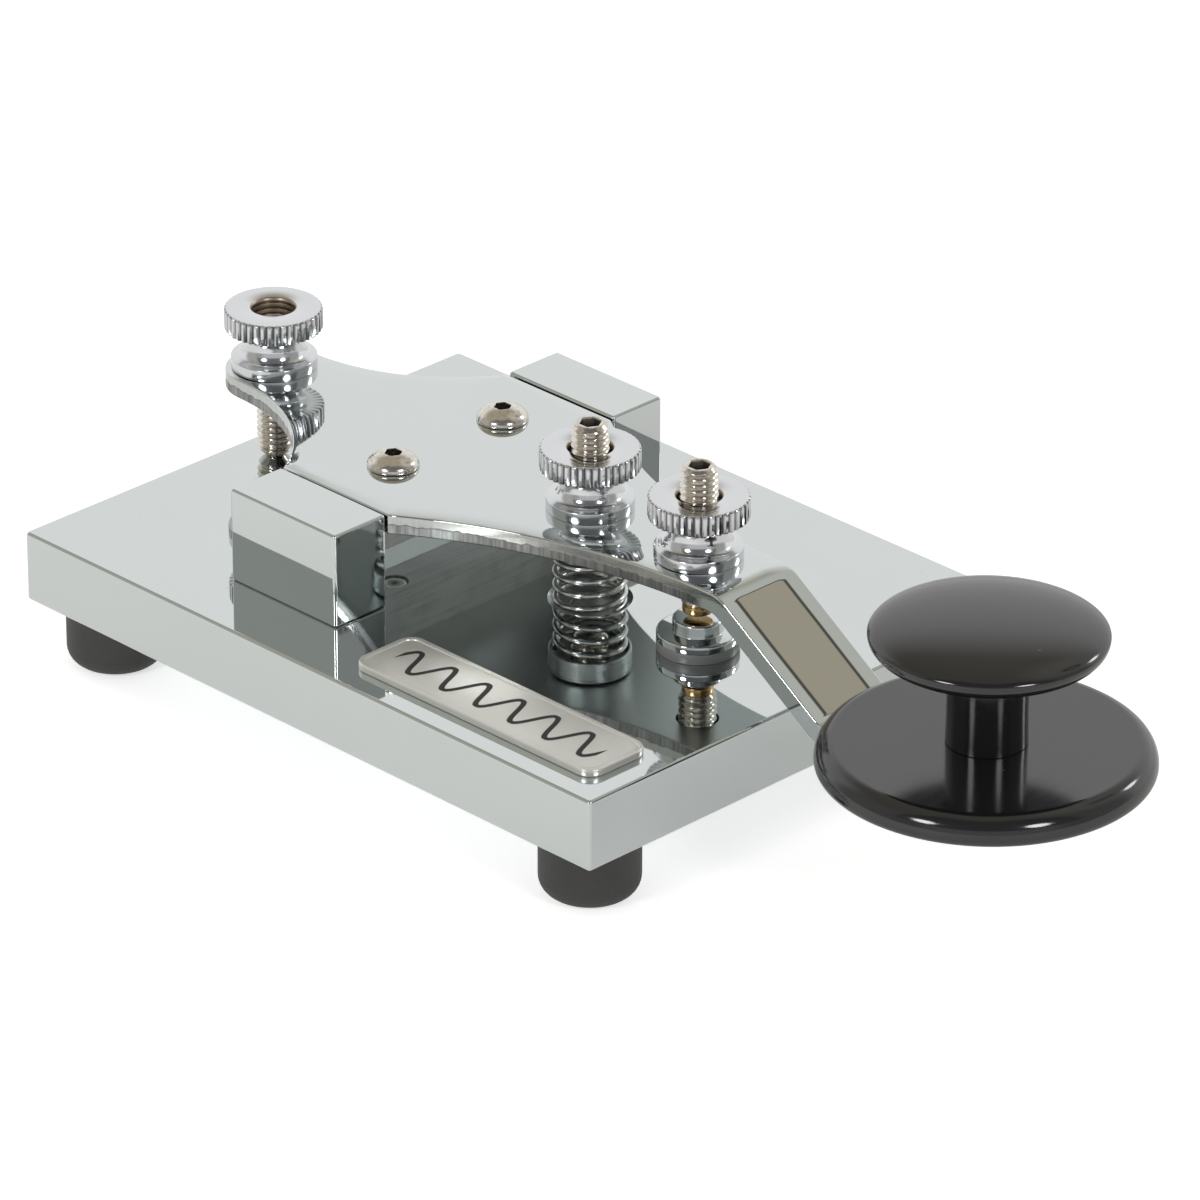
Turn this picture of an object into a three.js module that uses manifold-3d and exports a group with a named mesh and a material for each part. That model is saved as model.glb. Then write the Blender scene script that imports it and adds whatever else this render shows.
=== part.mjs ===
// A straight (hand) telegraph key on a heavy plated base: a lever on a crosswise pivot bar between two
// blocks, an adjustable rear stop, spring and front contact, and a flat two-disc knob on a cranked nose.
// Millimetres, +Z up, +X towards the knob. The assembly is laid out from the middle of the base's top
// face, then the whole group is moved so that the origin is the bottom centre of the bounding box.

import * as THREE from 'three';
import { mergeVertices } from 'three/addons/utils/BufferGeometryUtils.js';
import Module from 'manifold-3d';

const wasm = await Module();
wasm.setup();

// ---- driving dimensions -------------------------------------------------------------------------
const INCH = 25.4;
const ROUND = 16;              // sides on a hidden screw or hole
const ROUND_NUT = 24;          // sides on a thumb nut, foot or cup
const ROUND_LARGE = 40;        // sides on the knob
const FIT = 0.1;               // radial clearance of a pin or stud in its hole
const EDGE = 0.3;              // broken edge on the machined blocks
const THROUGH = 1;             // how far a cutting tool runs past the face it opens
const DRILL_END = 0.6;         // how much deeper a tapped hole is than its screw

const BASE = { length: 4 * INCH, width: 3 * INCH, thickness: 0.375 * INCH };
const FOOT = {
  radius: 6.33,
  height: 8.5,
  round: 2.5,
  inset: 0.3125 * INCH,
  recess: 3.3,
  recessDepth: 5.2,
};
const PIVOT = {
  x: -13,
  z: 6.73,
  barSize: 0.25 * INCH,
  barHalf: 19.2,
  pinRadius: 0.0625 * INCH,
  pinIn: 6,
  pinOut: 5.4,
  endPlay: 0.2,
};
const BLOCK = {
  inner: 19.84,
  outer: 1.125 * INCH,
  length: 0.75 * INCH,
  height: 0.5 * INCH,
  corner: 0.5,
  screwOffset: 5.9,
};
const LEVER = {
  top: 12.7,
  thickness: 2.8,
  halfWide: 19.45,
  halfNarrow: 6.3,
  bendX: 39.1,
  noseAngle: 33.4,
  bendInner: 3.0,
};
const STOP = { x: -45.2, top: 0.75 * INCH };
const TENSION = { x: 12.4, top: 24.2 };
const CONTACT = { x: 31.3, top: 24.9 };
const SCREW = {
  radius: 2.41,
  length: 0.75 * INCH,
  chamfer: 0.5,
  socket: 1.19,
  socketDepth: 2.6,
  tip: 1.2,
  tipEnd: 1.3,
  slack: 0.3,
};
// Heights of a thumb nut are above the lever's top face.
const NUT = {
  radius: 6.35,
  height: 8.15,
  flange: 5.57,
  flangeHigh: 1.5,
  hollowHigh: 3.55,
  hollowTall: 1.85,
  lip: 0.2,
  neck: 3.5,
  waistHigh: 4.5,
  waistOut: 0.3,
  discLow: 5.35,
  discIn: 1.2,
  chamfer: 0.27,
  bore: 2.75,
  mouth: 2.95,
  mouthDeep: 0.3,
};
const LEVER_SCREW = {
  y: 9.53,
  head: 3.33,
  headHeight: 1.85,
  flat: 1.2,
  rim: 0.25,
  shank: 1.75,
  length: 8.9,
  socket: 1.0,
  socketLow: 0.6,
};
const SPRING = { radius: 4.33, wire: 0.43, bottom: -0.95, top: 7.2, turns: 3.9 };
const CUP = { radius: 5.25, inner: 4.88, bottom: 6.8, ceiling: 8.3, top: 9.7, chamfer: 0.3 };
const POCKET = { radius: 5.37, depth: 1.0 };
const POST = {
  washer: 1.35,
  flange: 5.2,
  flangeTop: 2.5,
  boss: 3.2,
  bossTop: 4.25,
  chamfer: 0.25,
  stud: 1.75,
  studOut: 0.8,
  studChamfer: 0.3,
};
const TIP = { radius: 2.0, chamfer: 0.3, gap: 0.75 };
const KNOB = {
  x: 79.6,
  seat: 1.4,
  skirt: 20.65,
  skirtTop: 5.2,
  skirtRound: 1.15,
  stem: 5.0,
  waist: -0.12,
  waistHigh: 10,
  swell: 0.1,
  swellHigh: 15,
  flare: 0.4,
  capRadius: 14.52,
  capLow: 17.55,
  capWide: 19.4,
  capTop: 22.1,
};
const PLATE = {
  x: 26.2,
  y: -29.1,
  length: 41.6,
  width: 10.3,
  thickness: 1.0,
  corner: 2.2,
  chamfer: 0.25,
};
const GROUND = { x: -30, y: 0 };

const underside = -BASE.thickness;
const footBottom = underside - FOOT.height;

// ---- materials ------------------------------------------------------------------------------------
const metal = (color, roughness) => new THREE.MeshStandardMaterial({ color, roughness, metalness: 1 });
const plain = (color, roughness) => new THREE.MeshStandardMaterial({ color, roughness, metalness: 0 });
const chrome = metal('#d8dcdb', 0.05);
const milled = metal('#b9bab6', 0.35);
const stainless = metal('#b8ac9c', 0.22);
const springSteel = metal('#9b9d9c', 0.25);
const bronze = metal('#b08448', 0.35);
const gold = metal('#c08a3c', 0.2);
const zincSteel = metal('#aeb0ac', 0.4);
const tinned = metal('#c4c2b6', 0.45);
const glossBlack = plain('#101112', 0.12);
const phenolic = plain('#232323', 0.5);
const rubber = plain('#262625', 0.85);
const satinPlate = metal('#c9cac6', 0.3);

// ---- geometry helpers -----------------------------------------------------------------------------
function toSolid(geometry) {
  const bare = geometry.clone();
  bare.deleteAttribute('normal');
  bare.deleteAttribute('uv');
  const merged = mergeVertices(bare, 1e-4);
  const position = merged.attributes.position;
  const corner = [0, 1, 2].map(() => new THREE.Vector3());
  const triangles = [];
  let volume = 0;
  for (let i = 0; i < merged.index.count; i += 3) {
    const ids = [0, 1, 2].map((k) => merged.index.getX(i + k));
    if (new Set(ids).size < 3) continue;
    ids.forEach((id, k) => corner[k].fromBufferAttribute(position, id));
    volume += corner[0].dot(corner[1].clone().cross(corner[2]));
    triangles.push(ids);
  }
  if (volume < 0) triangles.forEach((ids) => ids.reverse());
  const mesh = new wasm.Mesh({
    numProp: 3,
    vertProperties: new Float32Array(position.array),
    triVerts: Uint32Array.from(triangles.flat()),
  });
  return new wasm.Manifold(mesh);
}

function toGeometry(solid) {
  const mesh = solid.getMesh();
  const geometry = new THREE.BufferGeometry();
  geometry.setAttribute('position', new THREE.BufferAttribute(new Float32Array(mesh.vertProperties), 3));
  geometry.setIndex(new THREE.BufferAttribute(new Uint32Array(mesh.triVerts), 1));
  geometry.computeVertexNormals();
  return geometry;
}

function cut(solid, ...tools) {
  return tools.reduce((rest, tool) => rest.subtract(tool), solid);
}

function join(solid, ...others) {
  return others.reduce((sum, other) => sum.add(other), solid);
}

// A piece turned about +Z: the outline lists [radius, height] pairs from the bottom up, then closes.
function turned(outline, x = 0, y = 0, sides = ROUND) {
  const points = outline.map(([radius, height]) => new THREE.Vector2(radius, height));
  const geometry = new THREE.LatheGeometry(points, sides);
  geometry.rotateX(Math.PI / 2);
  geometry.translate(x, y, 0);
  return toSolid(geometry);
}

function rod(radius, low, high, x = 0, y = 0, sides = ROUND) {
  return turned([[0, low], [radius, low], [radius, high], [0, high]], x, y, sides);
}

function hexRod(apothem, low, high, x = 0, y = 0) {
  return rod(apothem / Math.cos(Math.PI / 6), low, high, x, y, 6);
}

// A rod along Y, for the pivot pins and their holes.
function crossRod(radius, from, to, x, z, sides = ROUND) {
  const geometry = new THREE.CylinderGeometry(radius, radius, Math.abs(to - from), sides);
  geometry.translate(x, (from + to) / 2, z);
  return toSolid(geometry);
}

function box(low, high) {
  const size = high.map((value, k) => value - low[k]);
  const geometry = new THREE.BoxGeometry(...size);
  geometry.translate(...low.map((value, k) => value + size[k] / 2));
  return toSolid(geometry);
}

// A flat plate with round corners and broken edges, from low to high in Z.
function slab(x, y, length, width, low, high, corner, edge) {
  const a = length / 2 - edge;
  const b = width / 2 - edge;
  const r = corner - edge;
  const shape = new THREE.Shape();
  shape.moveTo(a - r, -b);
  shape.absarc(a - r, -b + r, r, -Math.PI / 2, 0);
  shape.absarc(a - r, b - r, r, 0, Math.PI / 2);
  shape.absarc(-a + r, b - r, r, Math.PI / 2, Math.PI);
  shape.absarc(-a + r, -b + r, r, Math.PI, 1.5 * Math.PI);
  const geometry = new THREE.ExtrudeGeometry(shape, {
    depth: high - low - 2 * edge,
    bevelEnabled: edge > 0,
    bevelThickness: edge,
    bevelSize: edge,
    bevelSegments: 1,
    curveSegments: corner > 1 ? 5 : 2,
  });
  geometry.translate(x, y, low + edge);
  return toSolid(geometry);
}

// Points on a quarter of an ellipse, for rounded rims: from (r0, z0) to (r1, z1), centre (cr, cz).
function quarter(cr, cz, dr, dz, fromAngle, toAngle, steps) {
  return Array.from({ length: steps + 1 }, (_, k) => {
    const angle = fromAngle + (toAngle - fromAngle) * (k / steps);
    return [cr + dr * Math.cos(angle), cz + dz * Math.sin(angle)];
  });
}

// ---- the scene graph --------------------------------------------------------------------------------
const key = new THREE.Group();

function add(name, solid, material) {
  const mesh = new THREE.Mesh(toGeometry(solid), material);
  mesh.name = name;
  key.add(mesh);
  return mesh;
}

const SIDES = [['left', -1], ['right', 1]];
const ENDS = [['rear', -1], ['front', 1]];
const footPlaces = SIDES.flatMap(([side, sy]) => ENDS.map(([end, sx]) => ({
  name: `${end}_${side}`,
  x: sx * (BASE.length / 2 - FOOT.inset),
  y: sy * (BASE.width / 2 - FOOT.inset),
})));
const blockScrewPlaces = SIDES.flatMap(([side, sy]) => ENDS.map(([end, sx]) => ({
  name: `${side}_${end}`,
  x: PIVOT.x + sx * BLOCK.screwOffset,
  y: sy * (BLOCK.inner + BLOCK.outer) / 2,
})));

// ---- base, feet and blocks --------------------------------------------------------------------------
const COUNTERBORE = { radius: 4.1, depth: 4.6 };
const FOOT_SCREW = { shank: 1.6, head: 2.9, headHeight: 2.2, length: 5 };
const BLOCK_SCREW = { shank: 1.95, head: 3.8, headHeight: 4.2, length: 5.2, slack: 0.3 };
const SCREW_END = { round: 0.6, chamfer: 0.4, socketShare: 0.4, socketDeep: 0.5 };
const STUD_HOLE = 3.3;
const BASE_CORNER = 0.8;

function basePlate() {
  const plate = slab(0, 0, BASE.length, BASE.width, underside, 0, BASE_CORNER, EDGE);
  const low = underside - THROUGH;
  const tappedEnd = underside + FOOT_SCREW.length + DRILL_END;
  const tapped = [...footPlaces, GROUND].map((place) => (
    rod(FOOT_SCREW.shank + FIT, low, tappedEnd, place.x, place.y)
  ));
  const blockHoles = blockScrewPlaces.flatMap((place) => [
    rod(BLOCK_SCREW.shank + BLOCK_SCREW.slack, low, THROUGH, place.x, place.y),
    rod(COUNTERBORE.radius, low, underside + COUNTERBORE.depth, place.x, place.y),
  ]);
  const studHole = rod(STUD_HOLE, low, THROUGH, CONTACT.x);
  const pocket = rod(POCKET.radius, -POCKET.depth, THROUGH, TENSION.x);
  return cut(plate, ...tapped, ...blockHoles, studHole, pocket);
}

function rubberFoot(x, y) {
  const { radius, round, recess, recessDepth } = FOOT;
  const rim = quarter(radius - round, footBottom + round, round, round, -Math.PI / 2, 0, 3);
  const outline = [[0, footBottom], ...rim, [radius, underside], [0, underside]];
  const body = turned(outline, x, y, ROUND_NUT);
  const recessHole = rod(recess, footBottom - THROUGH, footBottom + recessDepth, x, y);
  const hole = rod(FOOT_SCREW.shank + FIT, footBottom, underside + THROUGH, x, y);
  return cut(body, recessHole, hole);
}

// A screw standing head down, its head against a face at height seat.
function headDownScrew(size, seat, x, y) {
  const { shank, head, headHeight, length } = size;
  const { round, chamfer, socketShare, socketDeep } = SCREW_END;
  const low = seat - headHeight;
  const high = seat + length;
  const rim = quarter(head - round, low + round, round, round, -Math.PI / 2, 0, 1);
  const body = turned([
    [0, low], ...rim, [head, seat], [shank, seat],
    [shank, high - chamfer], [shank - chamfer, high], [0, high],
  ], x, y);
  return cut(body, hexRod(head * socketShare, low - THROUGH, low + headHeight * socketDeep, x, y));
}

add('base_plate', basePlate(), chrome);

for (const place of footPlaces) {
  add(`foot_${place.name}`, rubberFoot(place.x, place.y), rubber);
  const seat = footBottom + FOOT.recessDepth;
  const length = underside + FOOT_SCREW.length - seat;
  const screw = headDownScrew({ ...FOOT_SCREW, length }, seat, place.x, place.y);
  add(`foot_screw_${place.name}`, screw, zincSteel);
}

const BUSH = { radius: 2.5, length: 5.6, recess: 0.1, room: 0.2 };

for (const [side, sy] of SIDES) {
  const middle = sy * (BLOCK.inner + BLOCK.outer) / 2;
  const width = BLOCK.outer - BLOCK.inner;
  const body = slab(PIVOT.x, middle, BLOCK.length, width, 0, BLOCK.height, BLOCK.corner, EDGE);
  const boreEnd = sy * (BLOCK.inner + BUSH.length + BUSH.room);
  const bore = crossRod(BUSH.radius + FIT, sy * (BLOCK.inner - THROUGH), boreEnd, PIVOT.x, PIVOT.z);
  const tapped = blockScrewPlaces
    .filter((place) => Math.sign(place.y) === sy)
    .map((place) => (
      rod(BLOCK_SCREW.shank + FIT, -THROUGH, BLOCK_SCREW.length + DRILL_END, place.x, place.y)
    ));
  add(`pivot_block_${side}`, cut(body, bore, ...tapped), chrome);

  const from = sy * (BLOCK.inner + BUSH.recess);
  const to = sy * (BLOCK.inner + BUSH.length);
  const blank = crossRod(BUSH.radius, from, to, PIVOT.x, PIVOT.z);
  const pinHole = crossRod(PIVOT.pinRadius + FIT, sy * BLOCK.inner, sy * BLOCK.outer, PIVOT.x, PIVOT.z);
  add(`pivot_bush_${side}`, cut(blank, pinHole), bronze);
}

for (const place of blockScrewPlaces) {
  const seat = underside + COUNTERBORE.depth;
  const length = BLOCK_SCREW.length - seat;
  const screw = headDownScrew({ ...BLOCK_SCREW, length }, seat, place.x, place.y);
  add(`block_screw_${place.name}`, screw, zincSteel);
}

// ---- lever ------------------------------------------------------------------------------------------
const leverLow = LEVER.top - LEVER.thickness;
const shoulder = LEVER.halfWide - LEVER.halfNarrow;
const NOSE_LAP = 1;            // how far the flat part runs into the bend before they are joined
const wideRear = PIVOT.x - BLOCK.length / 2;
const wideFront = PIVOT.x + BLOCK.length / 2;

// Radius of the hollow flank that leaves the narrow part on a tangent and meets the wide part's corner.
function flankRadius(run) {
  return (run * run + shoulder * shoulder) / (2 * shoulder);
}

function leverPlan() {
  const { bendX, halfWide, halfNarrow: n, thickness } = LEVER;
  const rear = flankRadius(wideRear - STOP.x);
  const front = flankRadius(bendX - wideFront);
  const rearSweep = Math.asin((wideRear - STOP.x) / rear);
  const frontSweep = Math.asin((bendX - wideFront) / front);
  const up = Math.PI / 2;
  const shape = new THREE.Shape();
  shape.moveTo(bendX + NOSE_LAP, -n);
  shape.lineTo(bendX + NOSE_LAP, n);
  shape.absarc(bendX, n + front, front, -up, -up - frontSweep, true);
  shape.lineTo(wideRear, halfWide);
  shape.absarc(STOP.x, n + rear, rear, -up + rearSweep, -up, true);
  shape.absarc(STOP.x, 0, n, up, 3 * up, false);
  shape.absarc(STOP.x, -n - rear, rear, up, up - rearSweep, true);
  shape.lineTo(wideFront, -halfWide);
  shape.absarc(bendX, -n - front, front, up + frontSweep, up, true);
  const options = { depth: thickness, bevelEnabled: false, curveSegments: 12 };
  const geometry = new THREE.ExtrudeGeometry(shape, options);
  geometry.translate(0, 0, leverLow);
  return toSolid(geometry);
}

// The cranked nose, drawn as a side view in X and Z and extruded across Y.
function leverNose() {
  const { top, thickness, bendX, bendInner: inner, halfNarrow: n } = LEVER;
  const angle = THREE.MathUtils.degToRad(LEVER.noseAngle);
  const outer = inner + thickness;
  const drop = top - KNOB.seat;
  const slope = (drop - (inner + outer) * (1 - Math.cos(angle))) / Math.sin(angle);
  const lowX = bendX + (inner + outer) * Math.sin(angle) + slope * Math.cos(angle);
  const upperZ = top - outer;
  const lowerZ = KNOB.seat + inner;
  const up = Math.PI / 2;
  const shape = new THREE.Shape();
  shape.moveTo(bendX, top);
  shape.absarc(bendX, upperZ, outer, up, up - angle, true);
  shape.absarc(lowX, lowerZ, inner, -up - angle, -up, false);
  shape.lineTo(KNOB.x + n, KNOB.seat);
  shape.lineTo(KNOB.x + n, KNOB.seat - thickness);
  shape.absarc(lowX, lowerZ, outer, -up, -up - angle, true);
  shape.absarc(bendX, upperZ, inner, up - angle, up, false);
  const geometry = new THREE.ExtrudeGeometry(shape, { depth: 2 * n, bevelEnabled: false, curveSegments: 6 });
  geometry.rotateX(Math.PI / 2);
  geometry.translate(0, n, 0);
  const low = KNOB.seat - thickness - THROUGH;
  const high = top + THROUGH;
  const straight = box([bendX - THROUGH, -n - THROUGH, low], [KNOB.x, n + THROUGH, high]);
  const roundEnd = rod(n, low, high, KNOB.x, 0, ROUND_NUT);
  return toSolid(geometry).intersect(join(straight, roundEnd));
}

const KNOB_SCREW = { shank: 2.05, head: 4.0, headHeight: 2.2 };

function lever() {
  const low = leverLow - THROUGH;
  const high = LEVER.top + THROUGH;
  const screwHoles = [STOP, TENSION, CONTACT].map((place) => (
    rod(SCREW.radius + SCREW.slack, low, high, place.x)
  ));
  const barScrewHoles = SIDES.map(([, sy]) => (
    rod(LEVER_SCREW.shank + FIT, low, high, PIVOT.x, sy * LEVER_SCREW.y)
  ));
  const knobLow = KNOB.seat - LEVER.thickness - THROUGH;
  const knobHole = rod(KNOB_SCREW.shank + FIT, knobLow, KNOB.seat + THROUGH, KNOB.x);
  return cut(join(leverPlan(), leverNose()), ...screwHoles, ...barScrewHoles, knobHole);
}

add('lever', lever(), chrome);

// ---- pivot bar under the lever ------------------------------------------------------------------------
const half = PIVOT.barSize / 2;
const pinInner = PIVOT.barHalf - PIVOT.pinIn;
const barHoles = SIDES.flatMap(([, sy]) => [
  rod(LEVER_SCREW.shank + FIT, 0, LEVER.top, PIVOT.x, sy * LEVER_SCREW.y),
  crossRod(PIVOT.pinRadius + FIT, sy * pinInner, sy * BLOCK.inner, PIVOT.x, PIVOT.z),
]);
const bar = box(
  [PIVOT.x - half, -PIVOT.barHalf, leverLow - PIVOT.barSize],
  [PIVOT.x + half, PIVOT.barHalf, leverLow],
);
add('pivot_bar', cut(bar, ...barHoles), milled);

// A button-head screw with a hexagon socket, its head on the lever's top face.
function leverScrew(y) {
  const { head, headHeight, flat, rim, shank, length, socket, socketLow } = LEVER_SCREW;
  const { top } = LEVER;
  const dome = quarter(flat, top + rim, head - flat, headHeight - rim, 0, Math.PI / 2, 3);
  const body = turned([
    [0, top - length], [shank, top - length], [shank, top],
    [head, top], ...dome, [0, top + headHeight],
  ], PIVOT.x, y);
  return cut(body, hexRod(socket, top + socketLow, top + headHeight + THROUGH, PIVOT.x, y));
}

for (const [side, sy] of SIDES) {
  const pinFrom = sy * (pinInner + PIVOT.endPlay);
  const pinTo = sy * (BLOCK.inner + PIVOT.pinOut);
  const pin = crossRod(PIVOT.pinRadius, pinFrom, pinTo, PIVOT.x, PIVOT.z);
  add(`pivot_pin_${side}`, pin, zincSteel);
  add(`lever_screw_${side}`, leverScrew(sy * LEVER_SCREW.y), stainless);
}

// ---- adjusting screws and thumb nuts --------------------------------------------------------------------
// A headless screw with a hexagon socket in its top end.
function setScrew(x, top, bottom) {
  const { radius, chamfer, socket, socketDepth } = SCREW;
  const body = turned([
    [0, bottom], [radius, bottom], [radius, top - chamfer], [radius - chamfer, top], [0, top],
  ], x);
  return cut(body, hexRod(socket, top - socketDepth, top + THROUGH, x));
}

function thumbNut(x) {
  const z = LEVER.top;
  const { radius, height, chamfer, flange, flangeHigh, lip, neck, bore, mouth, mouthDeep } = NUT;
  const rim = flange - lip;
  const hollow = quarter(rim, z + NUT.hollowHigh, rim - neck, NUT.hollowTall, 1.5 * Math.PI, Math.PI, 3);
  return turned([
    [bore, z], [flange, z], [flange, z + flangeHigh], ...hollow,
    [neck + NUT.waistOut, z + NUT.waistHigh], [neck + NUT.discIn, z + NUT.discLow],
    [radius, z + NUT.discLow], [radius, z + height - chamfer], [radius - chamfer, z + height],
    [mouth, z + height], [bore, z + height - mouthDeep], [bore, z],
  ], x, 0, ROUND_NUT);
}

const stopTip = turned([[0, 0], [SCREW.tipEnd, 0], [SCREW.radius, SCREW.tip], [0, SCREW.tip]], STOP.x);
add('stop_tip', stopTip, stainless);
add('stop_screw', setScrew(STOP.x, STOP.top, SCREW.tip), stainless);
add('stop_nut', thumbNut(STOP.x), chrome);

const springCup = turned([
  [CUP.inner, CUP.bottom], [CUP.radius, CUP.bottom], [CUP.radius, CUP.top - CUP.chamfer],
  [CUP.radius - CUP.chamfer, CUP.top], [SCREW.radius + FIT, CUP.top],
  [SCREW.radius + FIT, CUP.ceiling], [CUP.inner, CUP.ceiling], [CUP.inner, CUP.bottom],
], TENSION.x, 0, ROUND_NUT);
add('spring_cup', springCup, chrome);
add('tension_screw', setScrew(TENSION.x, TENSION.top, TENSION.top - SCREW.length), stainless);
add('tension_nut', thumbNut(TENSION.x), chrome);

const tipLow = POST.bossTop + TIP.gap;
const tipHigh = tipLow + SCREW.tip;
const contactTip = turned([
  [0, tipLow], [TIP.radius - TIP.chamfer, tipLow], [TIP.radius, tipLow + TIP.chamfer],
  [TIP.radius, tipHigh], [0, tipHigh],
], CONTACT.x);
add('contact_tip', contactTip, gold);
add('contact_screw', setScrew(CONTACT.x, CONTACT.top, tipHigh), stainless);
add('contact_nut', thumbNut(CONTACT.x), chrome);

// ---- spring -----------------------------------------------------------------------------------------
class CoilCurve extends THREE.Curve {
  getPoint(t) {
    const angle = 2 * Math.PI * SPRING.turns * t;
    const low = SPRING.bottom + SPRING.wire;
    const high = SPRING.top - SPRING.wire;
    return new THREE.Vector3(
      TENSION.x + SPRING.radius * Math.cos(angle),
      SPRING.radius * Math.sin(angle),
      low + (high - low) * t,
    );
  }
}

const wireSection = new THREE.Shape().absarc(0, 0, SPRING.wire, 0, 2 * Math.PI);
const coil = new THREE.ExtrudeGeometry(wireSection, {
  extrudePath: new CoilCurve(),
  steps: 66,
  curveSegments: 3,
  bevelEnabled: false,
});
add('tension_spring', toSolid(coil), springSteel);

// ---- insulated contact ------------------------------------------------------------------------------
const WASHER_SLACK = 0.4;
const SHOULDER = { flange: 5.2, thickness: 1.3, sleeve: 3.0, sleeveTop: -2.0, slack: 0.2 };
const LUG = { thickness: 0.6, radius: 3.4, length: 9, tail: 2.2, eye: 0.9, eyeInset: 2, slack: 0.2 };
const HEX_NUT = { apothem: 3.6, height: 2.6 };
const shoulderLow = underside - SHOULDER.thickness;
const lugLow = shoulderLow - LUG.thickness;
const nutLow = lugLow - HEX_NUT.height;

const washerBore = POST.stud + WASHER_SLACK;
const washer = turned([[washerBore, 0], [POST.flange, 0], [POST.flange, POST.washer],
  [washerBore, POST.washer], [washerBore, 0]], CONTACT.x);
add('insulating_washer', washer, phenolic);

const sleeveBore = POST.stud + SHOULDER.slack;
const shoulderWasher = turned([
  [sleeveBore, shoulderLow], [SHOULDER.flange, shoulderLow], [SHOULDER.flange, underside],
  [SHOULDER.sleeve, underside], [SHOULDER.sleeve, SHOULDER.sleeveTop], [sleeveBore, SHOULDER.sleeveTop],
  [sleeveBore, shoulderLow],
], CONTACT.x);
add('shoulder_washer', shoulderWasher, phenolic);

const studEnd = nutLow - POST.studOut;
const contactPost = turned([
  [0, studEnd], [POST.stud - POST.studChamfer, studEnd], [POST.stud, studEnd + POST.studChamfer],
  [POST.stud, POST.washer], [POST.flange, POST.washer],
  [POST.flange, POST.flangeTop - POST.chamfer], [POST.flange - POST.chamfer, POST.flangeTop],
  [POST.boss, POST.flangeTop], [POST.boss, POST.bossTop - POST.chamfer],
  [POST.boss - POST.chamfer, POST.bossTop], [0, POST.bossTop],
], CONTACT.x);
add('contact_post', contactPost, chrome);

// A solder lug lying flat: a ring with a drilled tail that points along X.
function solderLug(x, y, low, direction, hole) {
  const high = low + LUG.thickness;
  const tailEnd = x + direction * LUG.length;
  const tail = box(
    [Math.min(x, tailEnd), y - LUG.tail, low],
    [Math.max(x, tailEnd), y + LUG.tail, high],
  );
  const eyeX = x + direction * (LUG.length - LUG.eyeInset);
  const eye = rod(LUG.eye, low - THROUGH, high + THROUGH, eyeX, y);
  const ring = join(rod(LUG.radius, low, high, x, y), tail);
  return cut(ring, rod(hole, low - THROUGH, high + THROUGH, x, y), eye);
}

add('contact_lug', solderLug(CONTACT.x, 0, lugLow, -1, POST.stud + LUG.slack), tinned);
const hexBlank = hexRod(HEX_NUT.apothem, nutLow, lugLow, CONTACT.x);
const hexBore = rod(POST.stud + FIT, nutLow - THROUGH, lugLow + THROUGH, CONTACT.x);
add('contact_lock_nut', cut(hexBlank, hexBore), zincSteel);

// ---- frame terminal ---------------------------------------------------------------------------------
const groundLow = underside - LUG.thickness;
const groundLug = solderLug(GROUND.x, GROUND.y, groundLow, 1, FOOT_SCREW.shank + LUG.slack);
add('ground_lug', groundLug, tinned);
const groundLength = LUG.thickness + FOOT_SCREW.length;
const groundSize = { ...FOOT_SCREW, length: groundLength };
add('ground_screw', headDownScrew(groundSize, groundLow, GROUND.x, GROUND.y), zincSteel);

// ---- name plate, blank ------------------------------------------------------------------------------
const namePlate = slab(
  PLATE.x, PLATE.y, PLATE.length, PLATE.width, 0, PLATE.thickness, PLATE.corner, PLATE.chamfer,
);
add('name_plate', namePlate, satinPlate);

// ---- knob -------------------------------------------------------------------------------------------
const INSERT = { radius: 3.1, height: 7, bore: KNOB_SCREW.shank + FIT, room: 2.2 };
const SCREW_SHORT = 0.5;       // how far the knob's screw stops below the end of its insert

function knobSkirt() {
  const { skirt, seat, skirtTop, skirtRound: low } = KNOB;
  const wide = seat + low;
  const lowRim = quarter(skirt - low, wide, low, low, -Math.PI / 2, 0, 3);
  const highRim = quarter(skirt - 2 * low, wide, 2 * low, skirtTop - wide, 0, Math.PI / 2, 4);
  const outline = [[0, seat], ...lowRim, ...highRim.slice(1), [0, skirtTop]];
  const screwHole = rod(INSERT.bore, seat - THROUGH, skirtTop + THROUGH, KNOB.x);
  return cut(turned(outline, KNOB.x, 0, ROUND_LARGE), screwHole);
}

function knobStemAndCap() {
  const { capRadius, capLow, capWide, capTop, skirtTop, stem } = KNOB;
  const round = capWide - capLow;
  const rim = quarter(capRadius - round, capWide, round, round, -Math.PI / 2, 0, 3);
  const dome = quarter(0, capWide, capRadius, capTop - capWide, 0, Math.PI / 2, 6);
  const outline = [
    [0, skirtTop], [stem, skirtTop], [stem + KNOB.waist, KNOB.waistHigh],
    [stem + KNOB.swell, KNOB.swellHigh], [stem + KNOB.flare, capLow], ...rim, ...dome.slice(1),
  ];
  const holeTop = skirtTop + INSERT.height + INSERT.room;
  const insertHole = rod(INSERT.radius + FIT, skirtTop - THROUGH, holeTop, KNOB.x);
  return cut(turned(outline, KNOB.x, 0, ROUND_LARGE), insertHole);
}

add('knob_skirt', knobSkirt(), glossBlack);
add('knob', knobStemAndCap(), glossBlack);

const insertTop = KNOB.skirtTop + INSERT.height;
const insertBlank = rod(INSERT.radius, KNOB.skirtTop, insertTop, KNOB.x);
const insertBore = rod(INSERT.bore, KNOB.skirtTop - THROUGH, insertTop + THROUGH, KNOB.x);
add('knob_insert', cut(insertBlank, insertBore), bronze);

const knobSeat = KNOB.seat - LEVER.thickness;
const knobSize = { ...KNOB_SCREW, length: insertTop - SCREW_SHORT - knobSeat };
add('knob_screw', headDownScrew(knobSize, knobSeat, KNOB.x, 0), stainless);

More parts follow.
